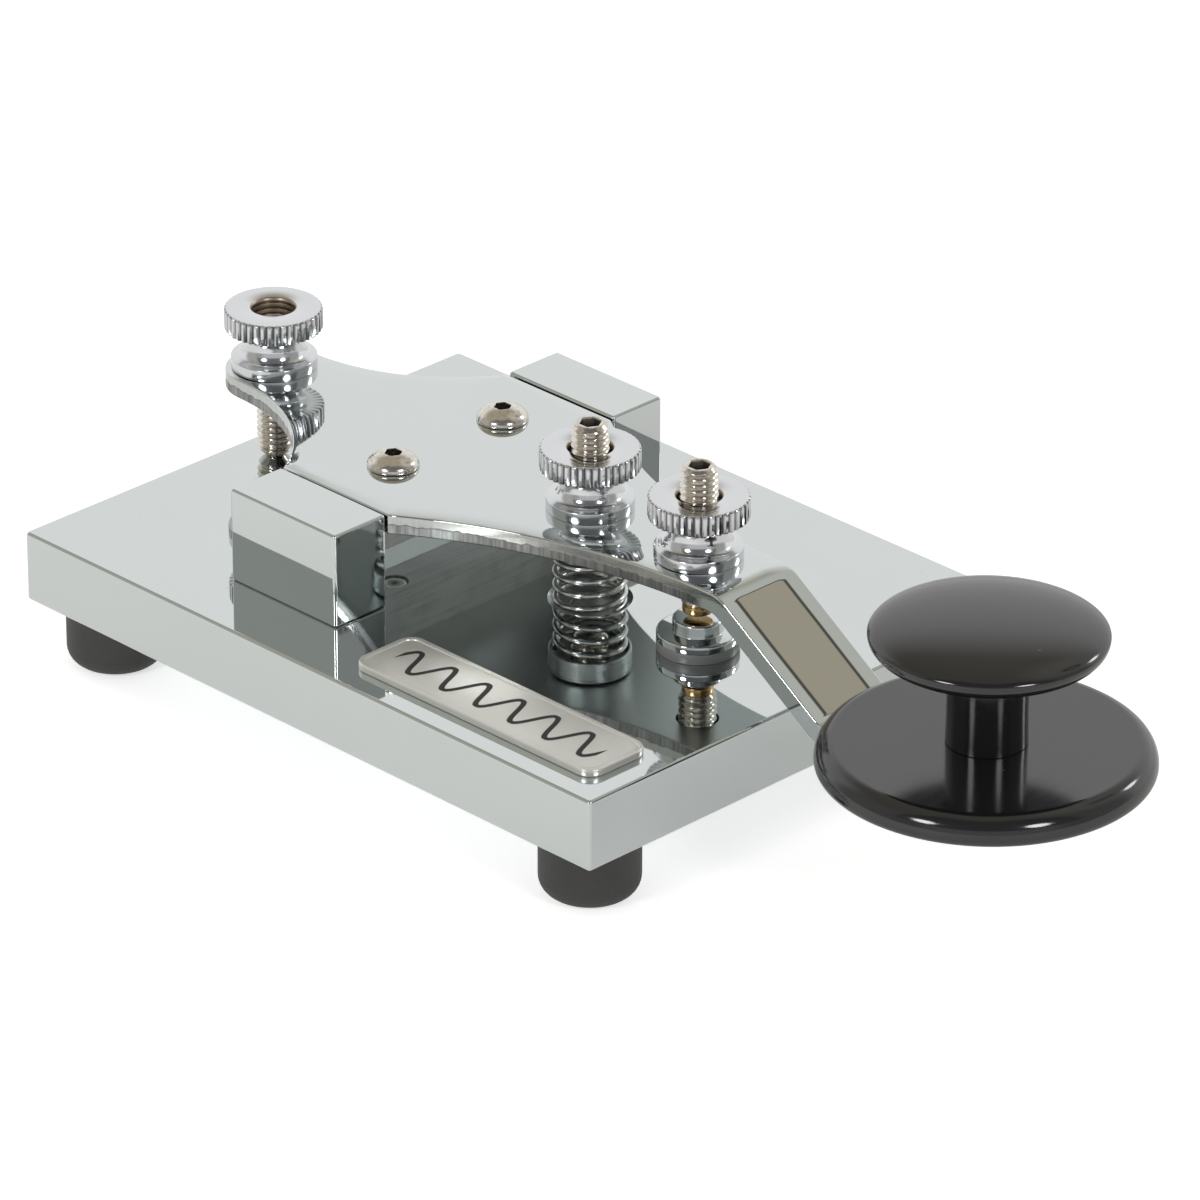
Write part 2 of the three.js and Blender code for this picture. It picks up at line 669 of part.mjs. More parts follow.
// ---- place the origin at the bottom centre of the bounding box ------------------------------------------
const rearmost = Math.min(-BASE.length / 2, STOP.x - NUT.radius);
const foremost = KNOB.x + KNOB.skirt;
key.position.set(-(rearmost + foremost) / 2, 0, -footBottom);
key.updateMatrixWorld(true);

export default key;
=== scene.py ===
import math

import bmesh
import bpy
import numpy as np
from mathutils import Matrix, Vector


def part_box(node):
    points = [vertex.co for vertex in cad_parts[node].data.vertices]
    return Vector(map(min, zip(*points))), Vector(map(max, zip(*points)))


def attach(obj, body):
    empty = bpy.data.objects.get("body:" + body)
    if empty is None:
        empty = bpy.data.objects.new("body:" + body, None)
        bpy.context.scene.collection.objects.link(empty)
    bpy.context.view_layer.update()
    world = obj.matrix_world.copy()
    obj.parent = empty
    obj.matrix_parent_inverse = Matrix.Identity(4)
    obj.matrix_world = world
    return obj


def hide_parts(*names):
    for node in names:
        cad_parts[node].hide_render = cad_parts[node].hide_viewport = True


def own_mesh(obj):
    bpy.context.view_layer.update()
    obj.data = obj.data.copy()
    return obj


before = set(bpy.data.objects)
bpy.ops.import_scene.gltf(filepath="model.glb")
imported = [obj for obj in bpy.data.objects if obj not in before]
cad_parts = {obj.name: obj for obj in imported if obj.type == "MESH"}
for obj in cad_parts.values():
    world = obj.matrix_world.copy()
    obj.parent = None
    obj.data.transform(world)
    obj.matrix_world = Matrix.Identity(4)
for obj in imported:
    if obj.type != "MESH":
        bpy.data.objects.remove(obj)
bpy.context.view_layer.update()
scene = bpy.context.scene
mm = 0.001
fullTurn = 2 * math.pi
baseLow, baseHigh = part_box("base_plate")
datum = Vector(((baseLow.x + baseHigh.x) / 2, (baseLow.y + baseHigh.y) / 2, baseHigh.z))
print("frame loaded", len(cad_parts), "nodes")


def place(node):  # middle x, y and lowest, highest z of a node, in mm from the middle of the base's top
    low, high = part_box(node)
    middle = (low + high) / 2 - datum
    return middle.x / mm, middle.y / mm, (low.z - datum.z) / mm, (high.z - datum.z) / mm


def quarter(count):  # angles of a quarter turn
    return np.linspace(0, math.pi / 2, count)


class Wire:
    def __init__(self, sheet, socket):
        self.sheet = sheet
        self.socket = socket

    def sum(self, kind, first, second=0.0):
        return self.sheet.add("Math", {"operation": kind}, {0: first, 1: second})

    def __add__(self, other):
        return self.sum("ADD", self, other)

    def __sub__(self, other):
        return self.sum("SUBTRACT", self, other)

    def __rsub__(self, other):
        return self.sum("SUBTRACT", other, self)

    def __mul__(self, other):
        return self.sum("MULTIPLY", self, other)

    def __truediv__(self, other):
        return self.sum("DIVIDE", self, other)

    __radd__ = __add__
    __rmul__ = __mul__


class Sheet:  # a node tree that is written as sums of wires; plain kinds are shader nodes
    def __init__(self, tree):
        self.tree = tree

    def add(self, kind, settings=None, values=None, out=0):
        node = self.tree.nodes.new(kind if "Node" in kind else "ShaderNode" + kind)
        for name, value in (settings or {}).items():
            setattr(node, name, value)
        for name, value in (values or {}).items():
            if isinstance(value, Wire):
                self.tree.links.new(value.socket, node.inputs[name])
            elif value is not None:
                node.inputs[name].default_value = value
        return Wire(self, node.outputs[out]) if node.outputs else None

    def step(self, wire, low, high):  # smooth step from 0 at low to 1 at high
        settings = {"interpolation_type": "SMOOTHSTEP"}
        return self.add("MapRange", settings, {0: wire, 1: low, 2: high})

    def mix(self, factor, first, second):
        settings = {"data_type": "RGBA"}
        return self.add("Mix", settings, {0: factor, 6: first, 7: second}, 2)

    def noise(self, where, scale, detail=3.0, stretch=None, rough=0.5):
        if stretch:
            where = self.add("Mapping", None, {0: where, 3: stretch})
        return self.add("TexNoise", None, {0: where, 2: scale, 3: detail, 4: rough})

    def mark(self, name):  # a number kept on the points of the mesh
        return self.add("Attribute", {"attribute_name": name}, None, 2)

    def clamp(self, wire, low, high):
        return wire.sum("MINIMUM", wire.sum("MAXIMUM", wire, low), high)

    def spot(self, x, y, z):
        return self.add("CombineXYZ", None, {0: x, 1: y, 2: z})

    def parts(self, wire):
        node = self.tree.nodes.new("ShaderNodeSeparateXYZ")
        self.tree.links.new(wire.socket, node.inputs[0])
        return [Wire(self, node.outputs[index]) for index in range(3)]


def newMaterial(name):
    material = bpy.data.materials.new(name)
    material.use_nodes = True
    sheet = Sheet(material.node_tree)
    material.node_tree.nodes.clear()
    where = sheet.add("TexCoord", out=3)
    return material, sheet, where


def closeMaterial(sheet, varying, fixed, bump=None, bumpSize=0.0):
    values = dict(fixed)
    values.update(varying)
    if bump is not None:
        relief = {"Strength": 1.0, "Distance": bumpSize, "Height": bump}
        values["Normal"] = sheet.add("Bump", None, relief)
    surface = sheet.add("BsdfPrincipled", None, values)
    sheet.add("OutputMaterial", None, {0: surface})


def grey(value):
    return (value, value, value, 1)


# Chrome plate: a mirror with a faint waviness, fine hazing and a few specks of dust.
chromeLook = {"tint": (0.63, 0.665, 0.66, 1), "haze": (0.55, 0.58, 0.58, 1), "smooth": 0.012, "hazed": 0.05}


def chromeMaterial(name="chrome", milledTo=None, nut=False, lathe=None):
    material, sheet, where = newMaterial(name)
    haze = sheet.noise(where, 60, 4)
    dust = sheet.step(sheet.noise(where, 1500, 1), 0.80, 0.84)
    smear = sheet.noise(where, 900, 3, (1, 0.12, 1))
    tint = sheet.mix(haze * 0.35, chromeLook["tint"], chromeLook["haze"])
    tint = sheet.mix(dust * 0.5, tint, (0.32, 0.31, 0.29, 1))
    rough = haze * (chromeLook["hazed"] - chromeLook["smooth"]) + chromeLook["smooth"] + dust * 0.2
    wave = sheet.noise(where, 70, 1) * (0.15 if nut else 0.9) + smear * 0.004
    if milledTo:  # the cut edge up to this x: burnished above, torn and scored below, satin underneath; its darker tints are partly tool marks and partly painted shade for the dark surroundings that the edge mirrors
        up = sheet.parts(sheet.add("NewGeometry", out=1))[2]
        along = sheet.parts(where)[0]
        flank = (1 - sheet.step(up * up, 0.08, 0.3)) * (1 - sheet.step(along, milledTo - 0.004, milledTo))
        marks = sheet.noise(where, 2400, 2, (1, 1, 0.05))
        tear = sheet.noise(where, 900, 3, (1, 1, 0.3))
        share = sheet.mark("edgeShare")
        tornAndShaded = (1 - sheet.step(share + tear * 0.34, 0.60, 0.68)) * flank
        seam = tornAndShaded * (1 - tornAndShaded) * 4
        rough = rough + flank * (marks * 0.10 + 0.05) + tornAndShaded * (tear * 0.30 + 0.06)
        # painted shade with tool marks: the flank, the torn band below and the dark seam at its edge are
        # darkened in colour to stand for the dark that the edge mirrors
        tint = sheet.mix(flank * (marks * 0.6 + 0.2), tint, (0.42, 0.42, 0.40, 1))
        tint = sheet.mix(tornAndShaded * (marks * 1.1 + 0.1), tint, (0.12, 0.12, 0.12, 1))
        tint = sheet.mix(seam * 0.7, tint, (0.08, 0.08, 0.08, 1))
        rough = rough + sheet.step(up * -1, 0.5, 0.9) * 0.3
        wave = wave + flank * marks * 0.12 + tornAndShaded * (tear * 1.6 + marks * 0.5)
    if nut:  # grime and painted shade at the roots of the knurl, a warm dull thread in the bore
        groove = sheet.mark("groove")
        bore = sheet.mark("bore")
        tint = sheet.mix(0.7, tint, (0.67, 0.67, 0.69, 1))
        # painted shade with grime: the knurl's roots are darkened in colour
        tint = sheet.mix(groove * 0.9, tint, (0.10, 0.10, 0.11, 1))
        tint = sheet.mix(bore, tint, (0.40, 0.33, 0.26, 1))
        rough = rough + groove * 0.15 + bore * 0.25 + haze * 0.08 + 0.05
    if lathe:  # rings left by the tool, within a radius of an axis and below a height
        axisX, reach, top = lathe
        px, py, pz = sheet.parts(where)
        px = px - axisX
        ring = px.sum("SQRT", px * px + py * py)
        cut = (1 - sheet.step(ring, reach - 0.0003, reach)) * (1 - sheet.step(pz, top - 0.0002, top))
        ringAt = {"W": ring * 1000 + pz * 700, 2: 5.0}
        rings = sheet.add("TexNoise", {"noise_dimensions": "1D"}, ringAt)
        rough = rough + cut * (rings * 0.25 + 0.16)
        wave = wave + cut * rings * 2.5
    closeMaterial(sheet, {"Base Color": tint, "Roughness": rough}, {"Metallic": 1.0}, wave, 0.00002)
    return material


# Plain metals: tint, worn tint, lowest roughness, its spread, the run of the fine marks, their height in m.
even = (1, 1, 1)
metalLooks = {
    "stainless": ((0.72, 0.685, 0.625), (0.48, 0.44, 0.385), 0.12, 0.12, even, 0.000008),
    "springSteel": ((0.62, 0.62, 0.60), (0.36, 0.36, 0.35), 0.09, 0.12, even, 0.000008),
    "milledSteel": ((0.88, 0.88, 0.86), (0.66, 0.66, 0.64), 0.34, 0.14, (1, 0.03, 1), 0.000016),
    "goldAlloy": ((0.62, 0.42, 0.20), (0.34, 0.20, 0.08), 0.14, 0.15, even, 0.000008),
    "zincPlate": ((0.55, 0.57, 0.56), (0.36, 0.37, 0.34), 0.28, 0.25, even, 0.000016),
    "bronze": ((0.55, 0.36, 0.16), (0.30, 0.18, 0.08), 0.28, 0.25, even, 0.000016),
    "tinPlate": ((0.62, 0.61, 0.55), (0.42, 0.41, 0.38), 0.30, 0.30, even, 0.000020),
}


def metalMaterial(name):
    tint, worn, smooth, spread, run, bumpSize = metalLooks[name]
    material, sheet, where = newMaterial(name)
    blotch = sheet.noise(where, 350, 4)
    marks = sheet.noise(where, 2400, 3, run)
    colour = sheet.mix(sheet.step(blotch * 0.4 + marks * 0.6, 0.42, 0.72), (*tint, 1), (*worn, 1))
    inside = sheet.mark("inside")
    colour = sheet.mix(inside, colour, (0.08, 0.07, 0.06, 1))  # painted shade inside a driver socket
    rough = marks * spread + smooth + inside * 0.3
    solid = {"Metallic": 0.45 if name == "milledSteel" else 1.0}  # the milled bar is dulled
    closeMaterial(sheet, {"Base Color": colour, "Roughness": rough}, solid, marks, bumpSize)
    return material


# Black plastic, polished: a near-black body with hairline rub marks and dust.
def knobMaterial():
    material, sheet, where = newMaterial("knobGloss")
    rub = sheet.noise(where, 900, 4, (1, 0.15, 1))
    dust = sheet.step(sheet.noise(where, 1300, 1), 0.79, 0.83)
    body = sheet.mix(dust * 0.35, (0.011, 0.011, 0.012, 1), grey(0.16))
    rough = rub * 0.10 + 0.07 + dust * 0.3
    closeMaterial(sheet, {"Base Color": body, "Roughness": rough}, {"IOR": 1.65}, rub, 0.000001)
    return material


def rubberMaterial():
    material, sheet, where = newMaterial("rubber")
    grain = sheet.noise(where, 3000, 3)
    cloud = sheet.noise(where, 160, 3)
    bloom = sheet.mix(cloud, (0.030, 0.030, 0.029, 1), (0.052, 0.051, 0.048, 1))
    rough = grain * 0.2 + 0.48
    closeMaterial(sheet, {"Base Color": bloom, "Roughness": rough}, {"IOR": 1.5}, grain, 0.00004)
    return material


def fibreMaterial():
    material, sheet, where = newMaterial("hardFibre")
    layers = sheet.noise(where, 500, 4, (0.2, 0.2, 6))
    body = sheet.mix(layers, grey(0.15), grey(0.32))
    rough = layers * 0.15 + 0.28
    closeMaterial(sheet, {"Base Color": body, "Roughness": rough}, {"IOR": 1.52}, layers, 0.00001)
    return material


chrome = chromeMaterial()
springAxis = place("tension_spring")[0] * mm + datum.x
chromeBase = chromeMaterial("chromeBase", lathe=(springAxis, 0.0055, datum.z - 0.0001))
chromeTurned = chromeMaterial("chromeTurned", lathe=(springAxis, 0.02, 1.0))
chromeMilled = chromeMaterial("chromeMilled", milledTo=datum.x + 0.0385)
chromeNut = chromeMaterial("chromeNut", nut=True)
metals = {name: metalMaterial(name) for name in metalLooks}
knobGloss = knobMaterial()
rubber = rubberMaterial()
hardFibre = fibreMaterial()
print("materials made")


def linkMesh(name, mesh):
    piece = bpy.data.objects.new(name, mesh)
    scene.collection.objects.link(piece)
    return piece


def tidyMesh(mesh, gap=2e-7):  # merge doubles, point the faces outwards
    work = bmesh.new()
    work.from_mesh(mesh)
    bmesh.ops.remove_doubles(work, verts=work.verts, dist=gap)
    bmesh.ops.dissolve_degenerate(work, edges=work.edges, dist=gap)
    bmesh.ops.recalc_face_normals(work, faces=work.faces)
    work.to_mesh(mesh)
    work.free()
    mesh.shade_smooth()
    return mesh


def rounded(corners, steps=4):
    # Corners are (radius, height, fillet); each fillet becomes an arc that is tangent to both sides.
    points = []
    for index, corner in enumerate(corners):
        here = np.array(corner[:2], float)
        fillet = corner[2] if len(corner) > 2 else 0
        if fillet <= 0 or index in (0, len(corners) - 1):
            points.append(tuple(here))
            continue
        back = np.array(corners[index - 1][:2], float) - here
        ahead = np.array(corners[index + 1][:2], float) - here
        back /= np.linalg.norm(back)
        ahead /= np.linalg.norm(ahead)
        half = math.acos(max(-1, min(1, float(back @ ahead)))) / 2
        reach = fillet / math.tan(half)
        middle = (back + ahead) / np.linalg.norm(back + ahead)
        centre = here + middle * fillet / math.sin(half)
        start = here + back * reach - centre
        end = here + ahead * reach - centre
        sweep = math.pi - 2 * half
        turn = math.copysign(1, start[0] * end[1] - start[1] * end[0])
        for step in range(steps + 1):
            angle = turn * sweep * step / steps
            spun = (start[0] * math.cos(angle) - start[1] * math.sin(angle),
                    start[0] * math.sin(angle) + start[1] * math.cos(angle))
            points.append((centre[0] + spun[0], centre[1] + spun[1]))
    return points


def hexagon(apothem):  # radius of a hexagon socket's wall at each angle
    return lambda angle: apothem / np.cos((angle % (math.pi / 3)) - math.pi / 6)


def turnedMesh(name, outline, x=0.0, y=0.0, sides=96, closed=False):
    # Outline rings are (radius, height) in mm from the base's top; a radius may be a function of the angle.
    angle = np.arange(sides) * fullTurn / sides
    vertices, rings = [], []
    for radius, height in outline:
        if not callable(radius) and radius <= 0:
            rings.append([len(vertices)])
            vertices.append((x, y, height))
            continue
        reach = radius(angle) if callable(radius) else np.full(sides, radius)
        rings.append(list(range(len(vertices), len(vertices) + sides)))
        vertices += [(x + r * math.cos(a), y + r * math.sin(a), height) for r, a in zip(reach, angle)]
    faces = []
    pairs = list(zip(rings, rings[1:])) + ([(rings[-1], rings[0])] if closed else [])
    for low, high in pairs:
        for k in range(sides):
            n = (k + 1) % sides
            face = [low[k % len(low)], low[n % len(low)], high[n % len(high)], high[k % len(high)]]
            face = list(dict.fromkeys(face))
            if len(face) > 2:
                faces.append(face)
    mesh = bpy.data.meshes.new(name)
    mesh.from_pydata([tuple(np.array(v) * mm + np.array(datum)) for v in vertices], [], faces)
    return tidyMesh(mesh)


def turned(name, outline, x=0.0, y=0.0, sides=96, closed=False):
    return linkMesh(name, turnedMesh(name, outline, x, y, sides, closed))


def insetOutline(outline, inset):  # a plan outline, anticlockwise, moved inwards along its mitres
    points = np.array(outline, float)
    ahead = np.roll(points, -1, 0) - points
    ahead /= np.linalg.norm(ahead, axis=1)[:, None]
    back = np.roll(ahead, 1, 0)
    inward = np.stack([-(ahead + back)[:, 1], (ahead + back)[:, 0]], 1)
    inward /= np.linalg.norm(inward, axis=1)[:, None]
    side = np.stack([-ahead[:, 1], ahead[:, 0]], 1)
    stretch = 1 / np.clip((inward * side).sum(1), 0.5, 1)
    return points + inward * (inset * stretch)[:, None]


def edgeRings(low, high, fillet, crown=0.0, crownIn=0.0):
    # (inset, height) rings of a plate's rounded edge, with the slight fall-off that polishing leaves.
    ring = [(fillet * (1 - math.sin(a)), fillet * (1 - math.cos(a))) for a in quarter(5)]
    rings = [(inset, low + drop) for inset, drop in ring]
    rings += [(inset, high - drop - crown) for inset, drop in reversed(ring)]
    if crown > 0:
        fall = crownIn - fillet
        rings += [(fillet + fall * s, high - crown * (1 - s) ** 2) for s in np.linspace(0, 1, 9)[1:]]
    return rings


limitSpec = {"edge": 0.3, "steps": 60, "near": 0.985, "keep": 0.8, "ease": 0.6}


def insetLimits(outline, most):  # how far in each point can move before it is nearer to another side
    points = np.array(outline, float)
    side = np.roll(points, -1, 0) - points
    limits = np.full(len(points), most)
    for inset in np.linspace(most, limitSpec["edge"], limitSpec["steps"]):
        moved = insetOutline(outline, inset)
        share = ((moved[:, None] - points[None]) * side[None]).sum(2) / (side * side).sum(1)[None]
        nearest = points[None] + np.clip(share, 0, 1)[:, :, None] * side[None]
        gap = np.linalg.norm(moved[:, None] - nearest, axis=2).min(1)
        limits[gap < inset * limitSpec["near"]] = inset * limitSpec["keep"]
    apart = np.linalg.norm(points[:, None] - points[None], axis=2)
    return (limits[None] + apart * limitSpec["ease"]).min(1)


def plateMesh(name, outline, rings, limits=None):
    vertices, faces = [], []
    count = len(outline)
    edge, most = limitSpec["edge"], rings[-1][0]
    for inset, height in rings:
        if limits is not None and inset > edge:  # points in tight corners move in less
            inset = edge + (inset - edge) * (limits - edge) / (most - edge)
        vertices += [(x, y, height) for x, y in insetOutline(outline, inset)]
    for ring in range(len(rings) - 1):
        for k in range(count):
            n = (k + 1) % count
            low, high = ring * count, (ring + 1) * count
            faces.append((low + k, low + n, high + n, high + k))
    faces.append(tuple(reversed(range(count))))
    faces.append(tuple(range((len(rings) - 1) * count, len(rings) * count)))
    mesh = bpy.data.meshes.new(name)
    mesh.from_pydata([tuple(v) for v in vertices], [], faces)
    return mesh


def roundRectangle(x, y, length, width, corner, steps=6):
    points = []
    for index, (sx, sy) in enumerate(((1, -1), (1, 1), (-1, 1), (-1, -1))):
        centre = (x + sx * (length / 2 - corner), y + sy * (width / 2 - corner))
        for step in range(steps + 1):
            a = (index - 1) * math.pi / 2 + step / steps * math.pi / 2
            points.append((centre[0] + corner * math.cos(a), centre[1] + corner * math.sin(a)))
    return points


def toMetres(mesh):
    for vertex in mesh.vertices:
        vertex.co = Vector(vertex.co) * mm + datum
    return tidyMesh(mesh)


def rodMesh(radius, low, high, x, y, sides=64, alongY=False):  # the shape of a hole
    outline = [(0, low), (radius, low), (radius, high), (0, high)]
    if not alongY:
        return turnedMesh("rod", outline, x, y, sides)
    mesh = turnedMesh("rod", outline, 0, 0, sides)
    for vertex in mesh.vertices:  # here low and high are y, and y is the height
        across = (Vector(vertex.co) - datum) / mm
        vertex.co = Vector((x + across.x, across.z, y + across.y)) * mm + datum
    return tidyMesh(mesh)


def settle(piece):  # modifiers become the mesh
    graph = bpy.context.evaluated_depsgraph_get()
    mesh = bpy.data.meshes.new_from_object(piece.evaluated_get(graph))
    piece.modifiers.clear()
    piece.data = mesh
    return piece


def drill(piece, cutters):
    for mesh in cutters:
        cutter = linkMesh("cutter", mesh)
        step = piece.modifiers.new("drill", "BOOLEAN")
        step.operation = "DIFFERENCE"
        step.solver = "EXACT"
        step.object = cutter
        settle(piece)
        bpy.data.objects.remove(cutter)
    return piece


def markSocketShade(mesh, x, y, reach, below):  # sets the inside mark, the painted shade, on the points of a driver socket
    marks = mesh.attributes.get("inside") or mesh.attributes.new("inside", "FLOAT", "POINT")
    for vertex in mesh.vertices:
        spot = (Vector(vertex.co) - datum) / mm
        if math.hypot(spot.x - x, spot.y - y) < reach and spot.z < below:
            marks.data[vertex.index].value = 1.0


def dress(piece, body, material, nodes, sharp=38.0, weighted=True):
    piece.data.materials.clear()
    piece.data.materials.append(material)
    piece.data.shade_smooth()
    piece.data.set_sharp_from_angle(angle=math.radians(sharp))
    if weighted:
        step = piece.modifiers.new("evenNormals", "WEIGHTED_NORMAL")
        step.keep_sharp = True
        settle(piece)
    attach(piece, body)
    if nodes:
        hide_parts(*nodes)
    return piece


def newTree(name, **inputs):  # inputs are words, listed under the kind of their socket
    tree = bpy.data.node_groups.new(name, "GeometryNodeTree")
    sheet = Sheet(tree)
    for kind, labels in {"Geometry": "Geometry", **inputs, "Material": "Metal"}.items():
        for label in labels.split():
            tree.interface.new_socket(label, in_out="INPUT", socket_type="NodeSocket" + kind)
    tree.interface.new_socket("Geometry", in_out="OUTPUT", socket_type="NodeSocketGeometry")
    source = tree.nodes.new("NodeGroupInput")
    wires = {socket.name: Wire(sheet, socket) for socket in source.outputs if socket.name}
    return tree, sheet, wires


def closeTree(sheet, geometry, material):
    real = sheet.add("GeometryNodeRealizeInstances", None, {0: geometry})
    painted = sheet.add("GeometryNodeSetMaterial", None, {0: real, 2: material})
    sheet.add("NodeGroupOutput", None, {0: painted})


def grow(name, tree, values, mesh=None):
    piece = linkMesh(name, mesh or bpy.data.meshes.new(name))
    step = piece.modifiers.new(name, "NODES")
    step.node_group = tree
    ids = {item.name: item.identifier for item in tree.interface.items_tree if item.in_out == "INPUT"}
    for label, value in values.items():
        step[ids[label]] = value
    settle(piece)
    return piece


def threadTree():
    # A rolled thread: a grid wrapped round an axis on the slant of the helix, held between its two ends.
    floats = "Radius Depth Pitch Low High Chamfer CentreX"
    tree, sheet, given = newTree("thread", Float=floats, Int="Columns Rows")
    radius, pitch, low, high = given["Radius"], given["Pitch"], given["Low"], given["High"]
    span = pitch * (given["Rows"] - 1) / 8
    grid = sheet.add("GeometryNodeMeshGrid", None, {0: 1.0, 1: span, 2: given["Columns"], 3: given["Rows"]})
    x, y, _ = sheet.parts(sheet.add("GeometryNodeInputPosition"))
    share = x + 0.5
    along = y + span / 2
    angle = share * fullTurn
    lift = low - pitch + along + share * pitch
    height = sheet.clamp(lift, low, high)
    phase = lift.sum("FRACT", along / pitch + 0.0001)
    ridge = lift.sum("ABSOLUTE", phase * 2 - 1)
    flank = sheet.clamp(ridge * 1.3 - 0.12, 0.0, 1.0)
    reach = radius - flank * given["Depth"]
    topLimit = radius - given["Chamfer"] + (high - height)
    lowLimit = radius - given["Chamfer"] + (height - low)
    reach = lift.sum("MINIMUM", lift.sum("MINIMUM", reach, topLimit), lowLimit)
    outX = given["CentreX"] + reach * lift.sum("COSINE", angle)
    outY = reach * lift.sum("SINE", angle)
    spot = sheet.spot(outX, outY, height)
    shaped = sheet.add("GeometryNodeSetPosition", None, {0: grid, 2: spot})
    welded = sheet.add("GeometryNodeMergeByDistance", None, {0: shaped, 2: 1e-7})
    closeTree(sheet, welded, given["Metal"])
    return tree


toothShape = {"steep": 1.7, "flat": 0.62, "phase": 0.0005}


def knurlTree():
    # Straight teeth on the points whose knurl mark is set.
    tree, sheet, given = newTree("knurl", Float="Teeth Depth CentreX")
    x, y, _ = sheet.parts(sheet.add("GeometryNodeInputPosition"))
    x = x - given["CentreX"]
    angle = x.sum("ARCTAN2", y, x)
    wave = x.sum("FRACT", angle * given["Teeth"] / fullTurn + toothShape["phase"])
    tooth = x.sum("ABSOLUTE", wave * 2 - 1) * toothShape["steep"] - toothShape["flat"]
    groove = sheet.clamp(tooth, 0.0, 1.0)
    mark = sheet.add("GeometryNodeInputNamedAttribute", {"data_type": "FLOAT"}, {0: "knurl"})
    outward = sheet.spot(x, y, 0.0)
    unit = sheet.add("VectorMath", {"operation": "NORMALIZE"}, {0: outward})
    sink = groove * given["Depth"] * mark * -1
    offset = sheet.add("VectorMath", {"operation": "SCALE"}, {0: unit, 3: sink})
    moved = sheet.add("GeometryNodeSetPosition", None, {0: given["Geometry"], 3: offset})
    closeTree(sheet, moved, given["Metal"])
    return tree


def springTree():
    # A compression spring: open coils between closed end turns.
    tree, sheet, given = newTree("spring", Float="Radius Wire Turns Low High EndTurns CentreX", Int="Steps")
    radius, wire, turns, ends = given["Radius"], given["Wire"], given["Turns"], given["EndTurns"]
    line = sheet.add("GeometryNodeCurvePrimitiveLine", None, {0: (0, 0, 0), 1: (0, 0, 1)})
    fine = sheet.add("GeometryNodeResampleCurve", None, {0: line, 2: given["Steps"]})
    share = sheet.add("GeometryNodeSplineParameter")
    turn = share * turns
    closedTurns = turn.sum("MINIMUM", turn, ends) + turn.sum("MAXIMUM", turn - turns + ends, 0.0)
    openTurns = turn - closedTurns
    pitch = (given["High"] - given["Low"] - wire * 2 - ends * wire * 4.2) / (turns - ends * 2)
    height = given["Low"] + wire + closedTurns * wire * 2.1 + openTurns * pitch
    angle = turn * fullTurn
    x = given["CentreX"] + radius * turn.sum("COSINE", angle)
    y = radius * turn.sum("SINE", angle)
    spot = sheet.spot(x, y, height)
    shaped = sheet.add("GeometryNodeSetPosition", None, {0: fine, 2: spot})
    section = sheet.add("GeometryNodeCurvePrimitiveCircle", None, {0: 14, 4: wire})
    swept = sheet.add("GeometryNodeCurveToMesh", None, {0: shaped, 1: section})
    swept.socket.node.inputs["Fill Caps"].default_value = True
    closeTree(sheet, swept, given["Metal"])
    return tree


def cornerTree():
    # The same small piece at the four corners of a rectangle.
    kinds = {"Float": "Length Width", "Vector": "Centre", "Object": "Piece", "Int": "Columns"}
    tree, sheet, given = newTree("corners", **kinds)
    values = {0: given["Length"], 1: given["Width"], 2: given["Columns"], 3: 2}
    grid = sheet.add("GeometryNodeMeshGrid", None, values)
    moved = sheet.add("GeometryNodeTransform", None, {0: grid, "Translation": given["Centre"]})
    model = sheet.add("GeometryNodeObjectInfo", None, {0: given["Piece"]}, "Geometry")
    spread = sheet.add("GeometryNodeInstanceOnPoints", None, {0: moved, 2: model})
    closeTree(sheet, spread, given["Metal"])
    return tree


threads, knurls, coils, corners = threadTree(), knurlTree(), springTree(), cornerTree()
print("node trees made")

past = 1.0  # how far a cutter runs beyond the face that it opens, in mm
baseSpec = {"corner": 0.55, "edge": 0.42, "pocket": 5.37, "pocketDeep": 1.0, "studHole": 3.3,
            "counterbore": 4.1, "counterboreDeep": 4.6, "screwHole": 2.25, "footHole": 1.7,
            "footHoleDeep": 5.6}
baseLength = (baseHigh.x - baseLow.x) / mm
baseWidth = (baseHigh.y - baseLow.y) / mm
underside = (baseLow.z - baseHigh.z) / mm
footNodes = [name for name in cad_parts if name.startswith("foot_") and "screw" not in name]
blockScrewNodes = [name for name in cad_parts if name.startswith("block_screw")]
springX = place("tension_spring")[0]
postX = place("contact_post")[0]
groundX, groundY = place("ground_screw")[:2]
s = baseSpec
outline = roundRectangle(0, 0, baseLength, baseWidth, s["corner"], 3)
mesh = toMetres(plateMesh("basePlate", outline, edgeRings(underside, 0, s["edge"])))
basePlate = linkMesh("basePlate", mesh)
below = underside - past
cutters = [rodMesh(s["pocket"], -s["pocketDeep"], past, springX, 0),
           rodMesh(s["studHole"], below, past, postX, 0)]
for node in blockScrewNodes:
    x, y, _, _ = place(node)
    counterboreTop = underside + s["counterboreDeep"]
    cutters.append(rodMesh(s["counterbore"], below, counterboreTop, x, y, 40))
    cutters.append(rodMesh(s["screwHole"], below, past, x, y, 32))
for x, y in [place(node)[:2] for node in footNodes] + [(groundX, groundY)]:
    cutters.append(rodMesh(s["footHole"], below, underside + s["footHoleDeep"], x, y, 32))
drill(basePlate, cutters)
dress(basePlate, "base", chromeBase, ["base_plate"])
print("base plate made")

